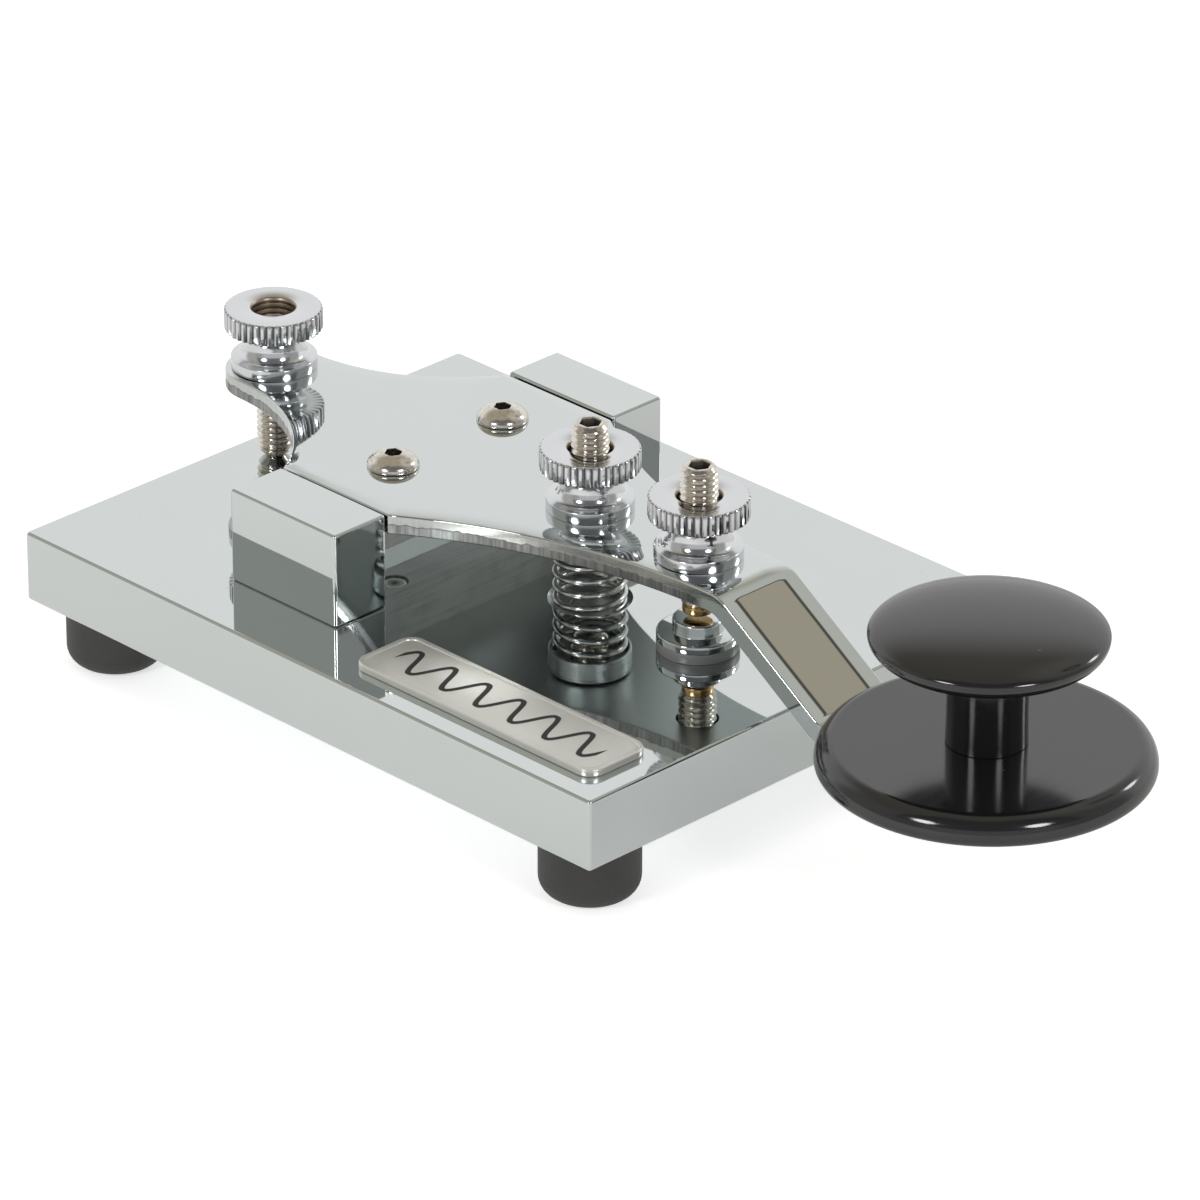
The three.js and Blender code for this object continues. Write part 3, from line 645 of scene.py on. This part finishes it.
blockSpec = {"corner": 0.42, "edge": 0.36, "bore": 2.6, "boreDeep": 5.8, "tapped": 2.05, "tappedDeep": 5.8}
pivotX = place("pivot_bar")[0]
_, _, pinLow, pinHigh = place("pivot_pin_left")
pivotZ = pinLow + (pinHigh - pinLow) / 2
for side, sign in (("left", -1), ("right", 1)):
    node = "pivot_block_" + side
    low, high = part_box(node)
    x, y, zLow, zHigh = place(node)
    outline = roundRectangle(x, y, (high.x - low.x) / mm, (high.y - low.y) / mm, blockSpec["corner"], 3)
    mesh = toMetres(plateMesh(node, outline, edgeRings(zLow, zHigh, blockSpec["edge"])))
    block = linkMesh("pivotBlock" + side.title(), mesh)
    inner = y - sign * (high.y - low.y) / mm / 2
    ends = sorted((inner - sign * past, inner + sign * blockSpec["boreDeep"]))
    cutters = [rodMesh(blockSpec["bore"], ends[0], ends[1], x, pivotZ, 48, True)]
    for screw in blockScrewNodes:
        sx, sy, _, _ = place(screw)
        if sy * sign > 0:
            cutters.append(rodMesh(blockSpec["tapped"], -past, blockSpec["tappedDeep"], sx, sy, 32))
    drill(block, cutters)
    dress(block, "base", chrome, [node])
print("pivot blocks made")

leverSpec = {"halfWide": 19.45, "halfNarrow": 6.3, "bendX": 39.1, "noseAngle": 33.4, "bendInner": 3.0,
             "thickness": 2.8, "edge": 0.22, "crown": 0.18, "crownIn": 3.6, "screwHole": 2.71,
             "barScrewHole": 1.85, "knobHole": 2.15, "knobHoleDeep": 5.0, "blockLength": 19.05,
             "bendCuts": 11, "levelCuts": 18, "cutsBehind": 4.9, "cutsShort": 1.7}
leverTop = place("stop_nut")[2]
leverLow = leverTop - leverSpec["thickness"]
stopX, contactX = place("stop_screw")[0], place("contact_screw")[0]
tensionX = place("tension_screw")[0]
knobX = place("knob")[0]
knobSeat = place("knob_skirt")[2]
noseAngle = math.radians(leverSpec["noseAngle"])
bendInner = leverSpec["bendInner"]
bendOuter = bendInner + leverSpec["thickness"]
bendMiddle = (bendInner + bendOuter) / 2
bendX = leverSpec["bendX"]
slope = (leverTop - knobSeat - (bendInner + bendOuter) * (1 - math.cos(noseAngle))) / math.sin(noseAngle)
lowX = bendX + (bendInner + bendOuter) * math.sin(noseAngle) + slope * math.cos(noseAngle)
bendRun = bendMiddle * noseAngle
flatFrom = bendX + 2 * bendRun + slope  # developed length at which the nose is level again
roundAt = flatFrom + knobX - lowX


def leverOutline():
    wide, narrow = leverSpec["halfWide"], leverSpec["halfNarrow"]
    back = leverSpec["blockLength"] / 2
    rearX, frontX = pivotX - back, pivotX + back
    drop = wide - narrow
    # The +y side comes first, from the front end to the rear end.
    half = [(roundAt + narrow * math.cos(a), narrow * math.sin(a)) for a in quarter(20)]
    run = bendX - frontX
    big = (run * run + drop * drop) / (2 * drop)
    for a in np.linspace(0, math.asin(run / big), 40):
        half.append((bendX - big * math.sin(a), narrow + big * (1 - math.cos(a))))
    run = rearX - stopX
    big = (run * run + drop * drop) / (2 * drop)
    for a in np.linspace(math.asin(run / big), 0, 40):
        half.append((stopX + big * math.sin(a), narrow + big * (1 - math.cos(a))))
    half += [(stopX - narrow * math.sin(a), narrow * math.cos(a)) for a in quarter(20)[1:]]
    mirrored = [(x, -y) for x, y in reversed(half[1:-1])]
    return half + mirrored


def bendPoint(u, y, h):  # a point of the flat blank, h above its lower face, carried round the two bends
    if u <= bendX:
        return u, y, leverLow + h
    if u <= bendX + bendRun:
        a = (u - bendX) / bendMiddle
        r = bendInner + h
        return bendX + r * math.sin(a), y, leverTop - bendOuter + r * math.cos(a)
    if u <= bendX + bendRun + slope:
        s = u - bendX - bendRun
        r = bendInner + h
        x = bendX + r * math.sin(noseAngle) + s * math.cos(noseAngle)
        return x, y, leverTop - bendOuter + r * math.cos(noseAngle) - s * math.sin(noseAngle)
    if u <= flatFrom:
        a = noseAngle - (u - bendX - bendRun - slope) / bendMiddle
        r = bendOuter - h
        return lowX - r * math.sin(a), y, knobSeat + bendInner - r * math.cos(a)
    return lowX + u - flatFrom, y, knobSeat - leverSpec["thickness"] + h


def leverMesh():
    s = leverSpec
    thickness = s["thickness"]
    rings = edgeRings(0, thickness, s["edge"], s["crown"], s["crownIn"])
    outline = leverOutline()
    mesh = plateMesh("lever", outline, rings, insetLimits(outline, s["crownIn"]))
    work = bmesh.new()
    work.from_mesh(mesh)
    share = work.verts.layers.float.new("edgeShare")
    for vertex in work.verts:
        vertex[share] = vertex.co.z / thickness
    cuts = [*np.linspace(bendX, bendX + bendRun, s["bendCuts"]),
            *np.linspace(flatFrom - bendRun, flatFrom, s["bendCuts"])]
    ends = stopX - s["cutsBehind"], bendX - s["cutsShort"]
    cuts += list(np.linspace(*ends, s["levelCuts"]))  # keeps the level faces small
    for u in cuts:
        everything = work.verts[:] + work.edges[:] + work.faces[:]
        bmesh.ops.bisect_plane(work, geom=everything, plane_co=(u, 0, 0), plane_no=(1, 0, 0), dist=1e-5)
    for vertex in work.verts:
        vertex.co = Vector(bendPoint(*vertex.co)) * mm + datum
    work.to_mesh(mesh)
    work.free()
    return tidyMesh(mesh)


lever = linkMesh("leverPlate", leverMesh())
adjusters = (("stop", stopX), ("tension", tensionX), ("contact", contactX))
holeLow, holeHigh = leverLow - past, leverTop + past
cutters = [rodMesh(leverSpec["screwHole"], holeLow, holeHigh, x, 0, 48) for _, x in adjusters]
for side in ("left", "right"):
    x, y, _, _ = place("lever_screw_" + side)
    cutters.append(rodMesh(leverSpec["barScrewHole"], holeLow, holeHigh, x, y, 40))
holeLow = knobSeat - leverSpec["knobHoleDeep"]
cutters.append(rodMesh(leverSpec["knobHole"], holeLow, knobSeat + past, knobX, 0, 40))
drill(lever, cutters)
dress(lever, "lever", chromeMilled, ["lever"])
print("lever made")

nutSpec = {"teeth": 42, "toothDepth": 0.26, "toothColumns": 6, "radius": 6.35, "height": 8.15,
           "flange": 5.57, "flangeHigh": 1.5, "neck": 3.55, "neckHigh": 3.9, "flare": 1.35, "discLow": 5.35,
           "chamfer": 0.27, "bore": 2.75, "mouth": 2.98, "turns": 9, "pitch": 0.794, "threadDeep": 0.12}


def nutMesh(name, x):
    s = nutSpec
    z = leverTop
    lip, disc, top = z + s["flangeHigh"], z + s["discLow"], z + s["height"]
    bottom = [(s["bore"], z), (s["flange"], z, 0.08), (s["flange"], lip, 0.14),
              (s["flange"] - 0.5, lip + 0.06, 0.02)]
    outline = rounded(bottom + [(s["flange"] - 0.6, lip + 0.09)])[:-1]
    bulge = s["flange"] - 0.62 - s["neck"]
    bulgeHigh = s["neckHigh"] - s["flangeHigh"] - 0.1
    outline += [(s["neck"] + bulge * (1 - math.sin(a)), z + s["neckHigh"] - bulgeHigh * math.cos(a))
                for a in quarter(15)]
    flareHigh = s["discLow"] - s["neckHigh"]
    outline += [(s["neck"] + s["flare"] * (1 - math.cos(a)), z + s["neckHigh"] + flareHigh * math.sin(a))
                for a in quarter(9)[1:]]
    knurlFrom = len(outline)
    root = s["radius"]
    outline += [(root - 0.25, disc), (root - 0.06, disc + 0.05), (root, disc + 0.22)]
    outline += [(root, top - s["chamfer"]), (root - 0.08, top - 0.11)]
    knurlTo = len(outline)
    outline += [(root - s["chamfer"], top - 0.01), (root - 0.4, top)]
    outline += [(s["mouth"] + 0.06, top), (s["mouth"], top - 0.03)]
    for turn in range(s["turns"]):
        crest = top - 0.3 - turn * s["pitch"]
        outline += [(s["bore"], crest - 0.08), (s["bore"], crest - 0.2)]
        outline += [(s["bore"] + s["threadDeep"], crest - s["pitch"] / 2 - 0.14)]
    outline += [(s["bore"], z + 0.25)]
    columns = s["teeth"] * s["toothColumns"]
    mesh = turnedMesh(name, outline, x, 0, columns, True)
    marks = mesh.attributes.new("knurl", "FLOAT", "POINT")
    grooves = mesh.attributes.new("groove", "FLOAT", "POINT")
    bores = mesh.attributes.new("bore", "FLOAT", "POINT")
    low = min(outline[knurlFrom][1], outline[knurlTo - 1][1]) * mm + datum.z - 1e-7
    high = outline[knurlTo - 1][1] * mm + datum.z + 1e-7
    for vertex in mesh.vertices:
        reach = math.hypot(vertex.co.x - datum.x - x * mm, vertex.co.y - datum.y) / mm
        turn = math.atan2(vertex.co.y - datum.y, vertex.co.x - datum.x - x * mm) / fullTurn * s["teeth"]
        if low <= vertex.co.z <= high and reach > root - 0.3:
            marks.data[vertex.index].value = 1.0
            wave = abs(((turn + toothShape["phase"]) % 1) * 2 - 1)
            wave = wave * toothShape["steep"] - toothShape["flat"]
            grooves.data[vertex.index].value = max(0.0, min(1.0, wave))
        if reach < s["mouth"] + 0.05:
            bores.data[vertex.index].value = 1.0
    return mesh


for kind, x in adjusters:
    values = {"Teeth": float(nutSpec["teeth"]), "Depth": nutSpec["toothDepth"] * mm,
              "CentreX": x * mm + datum.x, "Metal": chromeNut}
    nut = grow(kind + "ThumbNut", knurls, values, nutMesh(kind + "ThumbNut", x))
    dress(nut, kind + "_lock", chromeNut, [kind + "_nut"], 34)
print("thumb nuts made")

screwSpec = {"radius": 2.41, "depth": 0.46, "pitch": 0.79375, "chamfer": 0.6, "socket": 1.19,
             "socketDeep": 2.6, "socketChamfer": 0.12, "drillPoint": 0.5, "columns": 48}


def setScrew(name, x, low, high):
    s = screwSpec
    rows = math.ceil((high - low + 2 * s["pitch"]) / (s["pitch"] / 8)) + 1
    values = {"Radius": s["radius"] * mm, "Depth": s["depth"] * mm, "Pitch": s["pitch"] * mm,
              "Low": low * mm + datum.z, "High": high * mm + datum.z, "Chamfer": s["chamfer"] * mm,
              "CentreX": x * mm + datum.x, "Columns": s["columns"] + 1, "Rows": rows,
              "Metal": metals["stainless"]}
    screw = grow(name, threads, values)
    end = s["radius"] - s["chamfer"]
    socket = hexagon(s["socket"])
    socketLow = high - s["socketDeep"]
    outline = [(end, high), (end - 0.2, high), (hexagon(s["socket"] + s["socketChamfer"]), high),
               (socket, high - s["socketChamfer"]), (socket, socketLow), (0, socketLow - s["drillPoint"])]
    top = turnedMesh("end", outline, x, 0, s["columns"])
    bottom = turnedMesh("end", [(end, low), (0, low)], x, 0, s["columns"])
    work = bmesh.new()
    for mesh in (screw.data, top, bottom):
        work.from_mesh(mesh)
    work.to_mesh(screw.data)
    work.free()
    tidyMesh(screw.data, 3e-6)
    # painted shade in the hex socket
    markSocketShade(screw.data, x, 0, s["socket"] + 0.3, high - 0.06)
    return screw


for kind, x in adjusters:
    _, _, low, high = place(kind + "_screw")
    screw = setScrew(kind + "SetScrew", x, low, high)
    dress(screw, kind + "_thread", metals["stainless"], [kind + "_screw"], 50, False)
_, _, low, high = place("stop_tip")
outline = [(0, low), (1.3, low, 0.15), (2.3, high - 0.1, 0.1), (2.0, high), (0, high)]
tip = turned("stopScrewTip", rounded(outline), stopX, 0, 64)
dress(tip, "stop_adjuster", metals["stainless"], ["stop_tip"])
_, _, low, high = place("contact_tip")
outline = [(0, low), (2.0, low, 0.3), (2.0, high - 0.25, 0.1), (1.7, high), (0, high)]
tip = turned("contactTip", rounded(outline), contactX, 0, 64)
dress(tip, "contact_adjuster", metals["goldAlloy"], ["contact_tip"])
print("set screws made")

springSpec = {"radius": 4.33, "wire": 0.43, "turns": 4.65, "endTurns": 0.75, "steps": 380, "keep": 0.95}
s = springSpec
_, _, low, high = place("tension_spring")
values = {"Radius": s["radius"] * mm, "Wire": s["wire"] * mm, "Turns": s["turns"],
          "Low": low * mm + datum.z, "High": high * mm + datum.z, "EndTurns": s["endTurns"],
          "CentreX": springX * mm + datum.x, "Steps": s["steps"], "Metal": metals["springSteel"]}
spring = grow("tensionSpring", coils, values)
tidyMesh(spring.data)
dress(spring, "base", metals["springSteel"], ["tension_spring"], 60, False)
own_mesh(spring)
cupSpec = {"inside": 4.88, "outside": 5.25, "hole": 2.5, "ceiling": 8.3}
inside, outside, hole, ceiling = cupSpec.values()
_, _, low, high = place("spring_cup")
outline = [(inside, ceiling), (inside, low, 0.08), (outside, low, 0.15), (outside, high, 0.35),
           (hole, high, 0.08), (hole, ceiling)]
cup = turned("springCup", rounded(outline), tensionX, 0, 96, True)
dress(cup, "tension_adjuster", chromeTurned, ["spring_cup"])
print("spring made")

postSpec = {"stud": 1.75, "disc": 5.2, "discTop": 2.5, "anvil": 3.2, "washerHole": 2.15, "washerSeam": 0.7}
stud, disc, discTop, anvil, hole, seam = postSpec.values()
_, _, studLow, postTop = place("contact_post")
_, _, washerLow, washerTop = place("insulating_washer")
outline = [(0, studLow), (stud, studLow, 0.3), (stud, washerTop, 0.02), (disc, washerTop, 0.16),
           (disc, discTop, 0.28), (anvil, discTop, 0.12), (anvil, postTop, 0.3), (0, postTop)]
post = turned("contactPost", rounded(outline), postX, 0, 96)
dress(post, "base", chrome, ["contact_post"])
outline = [(hole, seam), (hole, washerLow, 0.05), (disc, washerLow, 0.12), (disc, washerTop, 0.12),
           (hole, washerTop, 0.05), (hole, seam)]
washer = turned("insulatingWasher", rounded(outline)[:-1], postX, 0, 96, True)
dress(washer, "base", hardFibre, ["insulating_washer"])
print("contact post made")

buttonSpec = {"head": 3.33, "high": 1.85, "rim": 0.22, "flat": 1.15, "shank": 1.75, "socket": 1.0,
              "socketDeep": 1.2, "socketChamfer": 0.08, "drillPoint": 0.3}


def buttonScrew():
    s = buttonSpec
    _, _, low, high = place("lever_screw_left")
    rise, last = s["high"] - s["rim"], math.acos(s["flat"] / s["head"])
    outline = [(0, low), (s["shank"] - 0.2, low), (s["shank"], low + 0.2), (s["shank"], leverTop),
               (s["head"] - 0.2, leverTop), (s["head"] - 0.05, leverTop + 0.07)]
    outline += [(s["head"] * math.cos(a), leverTop + s["rim"] + rise * math.sin(a) / math.sin(last))
                for a in np.linspace(0, last, 20)]
    socket, socketLow = hexagon(s["socket"]), high - s["socketDeep"]
    outline += [(hexagon(s["socket"] + s["socketChamfer"]), high), (socket, high - s["socketChamfer"]),
                (socket, socketLow), (0, socketLow - s["drillPoint"])]
    screw = turned("buttonScrew", outline, 0, 0, 96)
    # painted shade in the hex socket
    markSocketShade(screw.data, 0, 0, s["socket"] + 0.2, high - 0.4)
    return screw


model = buttonScrew()
x, yLeft, _, _ = place("lever_screw_left")
yRight = place("lever_screw_right")[1]
values = {"Length": 0.0, "Width": (yRight - yLeft) * mm, "Columns": 1, "Piece": model,
          "Centre": (x * mm, 0.0, 0.0), "Metal": metals["stainless"]}
buttons = grow("leverScrews", corners, values)
bpy.data.objects.remove(model)
tidyMesh(buttons.data)
dress(buttons, "lever", metals["stainless"], ["lever_screw_left", "lever_screw_right"], 40)
print("lever screws made")

footSpec = {"radius": 6.33, "round": 2.5, "recess": 3.3, "recessDeep": 5.2, "hole": 1.7}


def footModel():
    s = footSpec
    _, _, low, high = place(footNodes[0])
    recessTop = low + s["recessDeep"]
    outline = [(s["hole"], high), (s["hole"], recessTop, 0.1), (s["recess"], recessTop, 0.3),
               (s["recess"], low, 0.25), (s["radius"], low, s["round"]), (s["radius"], high, 0.25),
               (s["hole"], high)]
    return turned("foot", rounded(outline, 8)[:-1], 0, 0, 96, True)


model = footModel()
footX = [place(node)[0] for node in footNodes]
footY = [place(node)[1] for node in footNodes]
values = {"Length": (max(footX) - min(footX)) * mm, "Width": (max(footY) - min(footY)) * mm, "Columns": 2,
          "Piece": model, "Centre": (0.0, 0.0, 0.0), "Metal": rubber}
feet = grow("rubberFeet", corners, values)
bpy.data.objects.remove(model)
tidyMesh(feet.data)
dress(feet, "base", rubber, footNodes, 45)
print("feet made")

knobSpec = {"skirt": 20.65, "skirtRound": 1.15, "skirtCrown": 2.3, "hole": 2.15, "bore": 3.2,
            "boreDeep": 9.2, "stem": 4.88, "stemFoot": 0.12, "stemTaper": 0.1, "stemHigh": 16.4,
            "cap": 14.52, "capLow": 17.55, "capWide": 19.4}
_, _, skirtLow, skirtTop = place("knob_skirt")
_, _, _, capTop = place("knob")


def skirtOutline():
    s = knobSpec
    wide = skirtLow + s["skirtRound"]
    points = [(s["hole"], skirtLow)]
    points += [(s["skirt"] - s["skirtRound"] * (1 - math.sin(a)), wide - s["skirtRound"] * math.cos(a))
               for a in quarter(10)]
    points += [(s["skirt"] - s["skirtCrown"] * (1 - math.cos(a)), wide + (skirtTop - wide) * math.sin(a))
               for a in quarter(20)[1:]]
    return points + [(s["hole"], skirtTop)]


def capOutline():
    s = knobSpec
    low, wide, radius, bore = s["capLow"], s["capWide"], s["cap"], s["bore"]
    fillet = wide - low
    boreTop = skirtTop + s["boreDeep"]
    points = [(0, boreTop), (bore, boreTop), (bore, skirtTop + 0.2), (bore + 0.2, skirtTop)]
    points += [(4.9, skirtTop), (5.0, skirtTop + 0.1)]
    points += [(s["stem"] + s["stemFoot"] * abs(t * 2 - 1) ** 2 + s["stemTaper"] * t,
                skirtTop + 0.3 + (s["stemHigh"] - skirtTop) * t) for t in np.linspace(0, 1, 12)]
    points += [(5.15, 16.8), (5.35, 16.9), (5.42, 17.1), (5.35, 17.3), (5.4, 17.42), (5.7, low)]  # a bead
    points += [(radius - fillet * (1 - math.sin(a)), wide - fillet * math.cos(a)) for a in quarter(16)]
    points += [(radius * math.cos(a), wide + (capTop - wide) * math.sin(a)) for a in quarter(48)[1:-1]]
    return points + [(0, capTop)]


skirt = turned("knobSkirt", skirtOutline(), knobX, 0, 192, True)
dress(skirt, "lever", knobGloss, ["knob_skirt"])
cap = turned("knobCap", capOutline(), knobX, 0, 192)
dress(cap, "lever", knobGloss, ["knob"])
print("knob made")

plateSpec = {"corner": 2.2, "rim": 0.75, "sink": 0.12, "edge": 0.2, "waves": 6, "waveHigh": 2.4,
             "waveSteep": 2.6, "waveMargin": 2.2, "inkSolid": 0.30, "inkEnd": 0.40}


def namePlateMaterial(x, y, length, width):
    s = plateSpec
    material, sheet, where = newMaterial("namePlateMetal")
    px, py, _ = sheet.parts(where)
    u = (px - (x * mm + datum.x)) * 1000
    v = (py - (y * mm + datum.y)) * 1000
    brush = sheet.noise(where, 1800, 3, (0.05, 1, 1))
    cloud = sheet.noise(where, 300, 3)
    reach = length / 2 - s["rim"] - s["waveMargin"]
    inside = 1 - sheet.step(u.sum("ABSOLUTE", u), reach - 0.1, reach)
    turn = s["waves"] * fullTurn / (2 * reach)
    swell = u.sum("SINE", u * turn) * s["waveHigh"]
    steep = u.sum("COSINE", u * turn) * s["waveSteep"]
    thin = u.sum("SQRT", steep * steep + 1)
    apart = u.sum("ABSOLUTE", v - swell) / thin
    ink = (1 - sheet.step(apart, s["inkSolid"], s["inkEnd"])) * inside
    metal = sheet.mix(brush * 0.3 + cloud * 0.2, (0.84, 0.835, 0.79, 1), (0.70, 0.70, 0.66, 1))
    colour = sheet.mix(ink, metal, grey(0.02))
    rough = brush * 0.10 + 0.26 + ink * 0.2
    metallic = (1 - ink) * 0.6
    varying = {"Base Color": colour, "Roughness": rough, "Metallic": metallic}
    closeMaterial(sheet, varying, {}, 1 - ink + brush * 0.02, 0.00005)
    return material


s = plateSpec
low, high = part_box("name_plate")
x, y, _, plateTop = place("name_plate")
plateLength, plateWidth = (high.x - low.x) / mm, (high.y - low.y) / mm
outline = roundRectangle(x, y, plateLength, plateWidth, s["corner"], 10)
rings = edgeRings(0, plateTop, s["edge"])
rim = s["rim"]
rings += [(rim - 0.08, plateTop), (rim, plateTop - 0.03), (rim + 0.05, plateTop - s["sink"])]
namePlate = linkMesh("namePlate", toMetres(plateMesh("namePlate", outline, rings)))
dress(namePlate, "base", namePlateMaterial(x, y, plateLength, plateWidth), ["name_plate"])
print("name plate made")

# Small parts that keep their plain shapes and take a look from the list above.
keptLooks = {
    metals["milledSteel"]: "pivot_bar", metals["stainless"]: "knob_screw", hardFibre: "shoulder_washer",
    metals["zincPlate"]: "pivot_pin block_screw foot_screw contact_lock_nut ground_screw",
    metals["bronze"]: "pivot_bush knob_insert", metals["tinPlate"]: "contact_lug ground_lug",
}
for name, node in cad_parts.items():
    for material, starts in keptLooks.items():
        if name.startswith(tuple(starts.split())):
            node.data.materials.clear()
            node.data.materials.append(material)

studio = {"lens": 250.99, "azimuth": 45.228, "elevation": 26.903, "roll": -0.105, "away": 1.05044,
          "target": (-0.01654, 0.00508, 0.01414), "floor": 12.0}
azimuth, elevation = math.radians(studio["azimuth"]), math.radians(studio["elevation"])


def bearing(turn, rise):  # the way from the target, turned from the front and raised from level
    return Vector((math.sin(turn) * math.cos(rise), -math.cos(turn) * math.cos(rise), math.sin(rise)))


toCamera = bearing(azimuth, elevation)
camera = bpy.data.objects.new("camera", bpy.data.cameras.new("camera"))
scene.collection.objects.link(camera)
camera.data.lens = studio["lens"]
camera.data.sensor_width = 36
camera.data.clip_start = 0.01
camera.data.clip_end = 50
camera.location = Vector(studio["target"]) + toCamera * studio["away"]
camera.rotation_euler = (math.radians(90) - elevation, math.radians(studio["roll"]), azimuth)
scene.camera = camera
scene.view_settings.view_transform = "Standard"

# Each lamp has its turn from the camera, its rise, its distance, its radius and its power.
lights = [("leftLamp", -41, 32, 1.1, 0.13, 2.2), ("rightLamp", 35, 32, 1.1, 0.13, 2.2),
          ("backLamp", 117, 30, 1.3, 0.12, 1.2)]
for name, turn, rise, away, size, power in lights:
    lamp = bpy.data.objects.new(name, bpy.data.lights.new(name, "AREA"))
    lamp.data.shape = "DISK"
    lamp.data.size = size * 2
    lamp.data.energy = power
    towards = bearing(azimuth + math.radians(turn), math.radians(rise))
    lamp.location = Vector(studio["target"]) + towards * away
    lamp.rotation_mode = "QUATERNION"
    lamp.rotation_quaternion = (-towards).to_track_quat("-Z", "Y")
    scene.collection.objects.link(lamp)


def paintRoom():
    # A white sweep behind, grey on the left, a dim room in front and a warm ceiling.
    world = bpy.data.worlds.new("room")
    scene.world = world
    world.use_nodes = True
    world.node_tree.nodes.clear()
    sheet = Sheet(world.node_tree)
    x, y, z = sheet.parts(sheet.add("TexCoord"))
    facing = Vector((math.sin(noseAngle), 0, math.cos(noseAngle)))
    panel = facing * (2 * facing.dot(toCamera)) - toCamera  # what the lever's slope mirrors
    across = x.sum("SQRT", x * x + y * y + 0.0001)
    front = (x * math.sin(azimuth) - y * math.cos(azimuth)) / across
    right = (x * math.cos(azimuth) + y * math.sin(azimuth)) / across
    leftSide = sheet.step(right * -1, 0.55, 0.8) * sheet.step(front, -0.55, -0.25)
    rightSide = sheet.step(right, 0.6, 0.85) * sheet.step(front, -0.4, -0.1)
    colour = sheet.mix(leftSide, (1.0, 1.0, 1.0, 1), (0.50, 0.50, 0.47, 1))
    colour = sheet.mix(rightSide, colour, (0.42, 0.42, 0.41, 1))
    colour = sheet.mix(sheet.step(z, 0.50, 0.72) * 0.75, colour, (0.44, 0.405, 0.34, 1))
    colour = sheet.mix(sheet.step(z, 0.66, 0.74), colour, (0.44, 0.40, 0.325, 1))
    near = x * panel.x + y * panel.y + z * panel.z
    colour = sheet.mix(sheet.step(near, 0.88, 0.97), colour, (0.62, 0.615, 0.56, 1))
    colour = sheet.mix(sheet.step(near, 0.9938, 0.9953), colour, (0.10, 0.095, 0.085, 1))
    colour = sheet.mix(sheet.step(near, 0.9966, 0.9978), colour, (0.48, 0.425, 0.335, 1))
    dim = sheet.step(front, 0.38, 0.46) * sheet.step(z, 0.30, 0.38) * (1 - sheet.step(z, 0.94, 0.985))
    colour = sheet.mix(dim, colour, (0.175, 0.175, 0.185, 1))
    lowFront = sheet.step(front, 0.2, 0.5) * (1 - sheet.step(z, 0.30, 0.38))
    colour = sheet.mix(lowFront * 0.6, colour, (0.35, 0.35, 0.35, 1))
    seen = sheet.add("LightPath")
    colour = sheet.mix(seen, colour, (1, 1, 1, 1))
    light = sheet.add("Background", None, {0: colour, 1: 1.0})
    sheet.add("OutputWorld", None, {0: light})


paintRoom()


def makeFloor():
    material, sheet, where = newMaterial("paleFloor")
    grain = sheet.noise(where, 40, 3)
    tone = sheet.mix(grain, grey(0.84), grey(0.80))
    px, py, _ = sheet.parts(where)
    # painted light and shade: the floor that reflections see glows, dimmer on the right side as a painted
    # shadow of the knob and lever
    side = px * math.cos(azimuth) + py * math.sin(azimuth)
    paintedFloorGlow = sheet.mix(sheet.step(side, -0.05, 0.05), grey(0.38), grey(0.24))
    values = {"Base Color": tone, "Roughness": 0.7, "Emission Color": paintedFloorGlow, "Emission Strength": 1.0}
    plain = sheet.add("BsdfPrincipled", None, values)
    values = {"Base Color": grey(0.9), "Roughness": 0.7, "Emission Color": grey(1)}
    bright = sheet.add("BsdfPrincipled", None, {**values, "Emission Strength": 0.62})
    seen = sheet.add("LightPath")
    surface = sheet.add("MixShader", None, {0: seen, 1: plain, 2: bright})
    sheet.add("OutputMaterial", None, {0: surface})
    half = studio["floor"] / 2
    mesh = bpy.data.meshes.new("floor")
    spots = [(-half, -half, 0), (half, -half, 0), (half, half, 0), (-half, half, 0)]
    mesh.from_pydata(spots, [], [(0, 1, 2, 3)])
    mesh.materials.append(material)
    floor = linkMesh("floor", mesh)


makeFloor()
print("studio made")
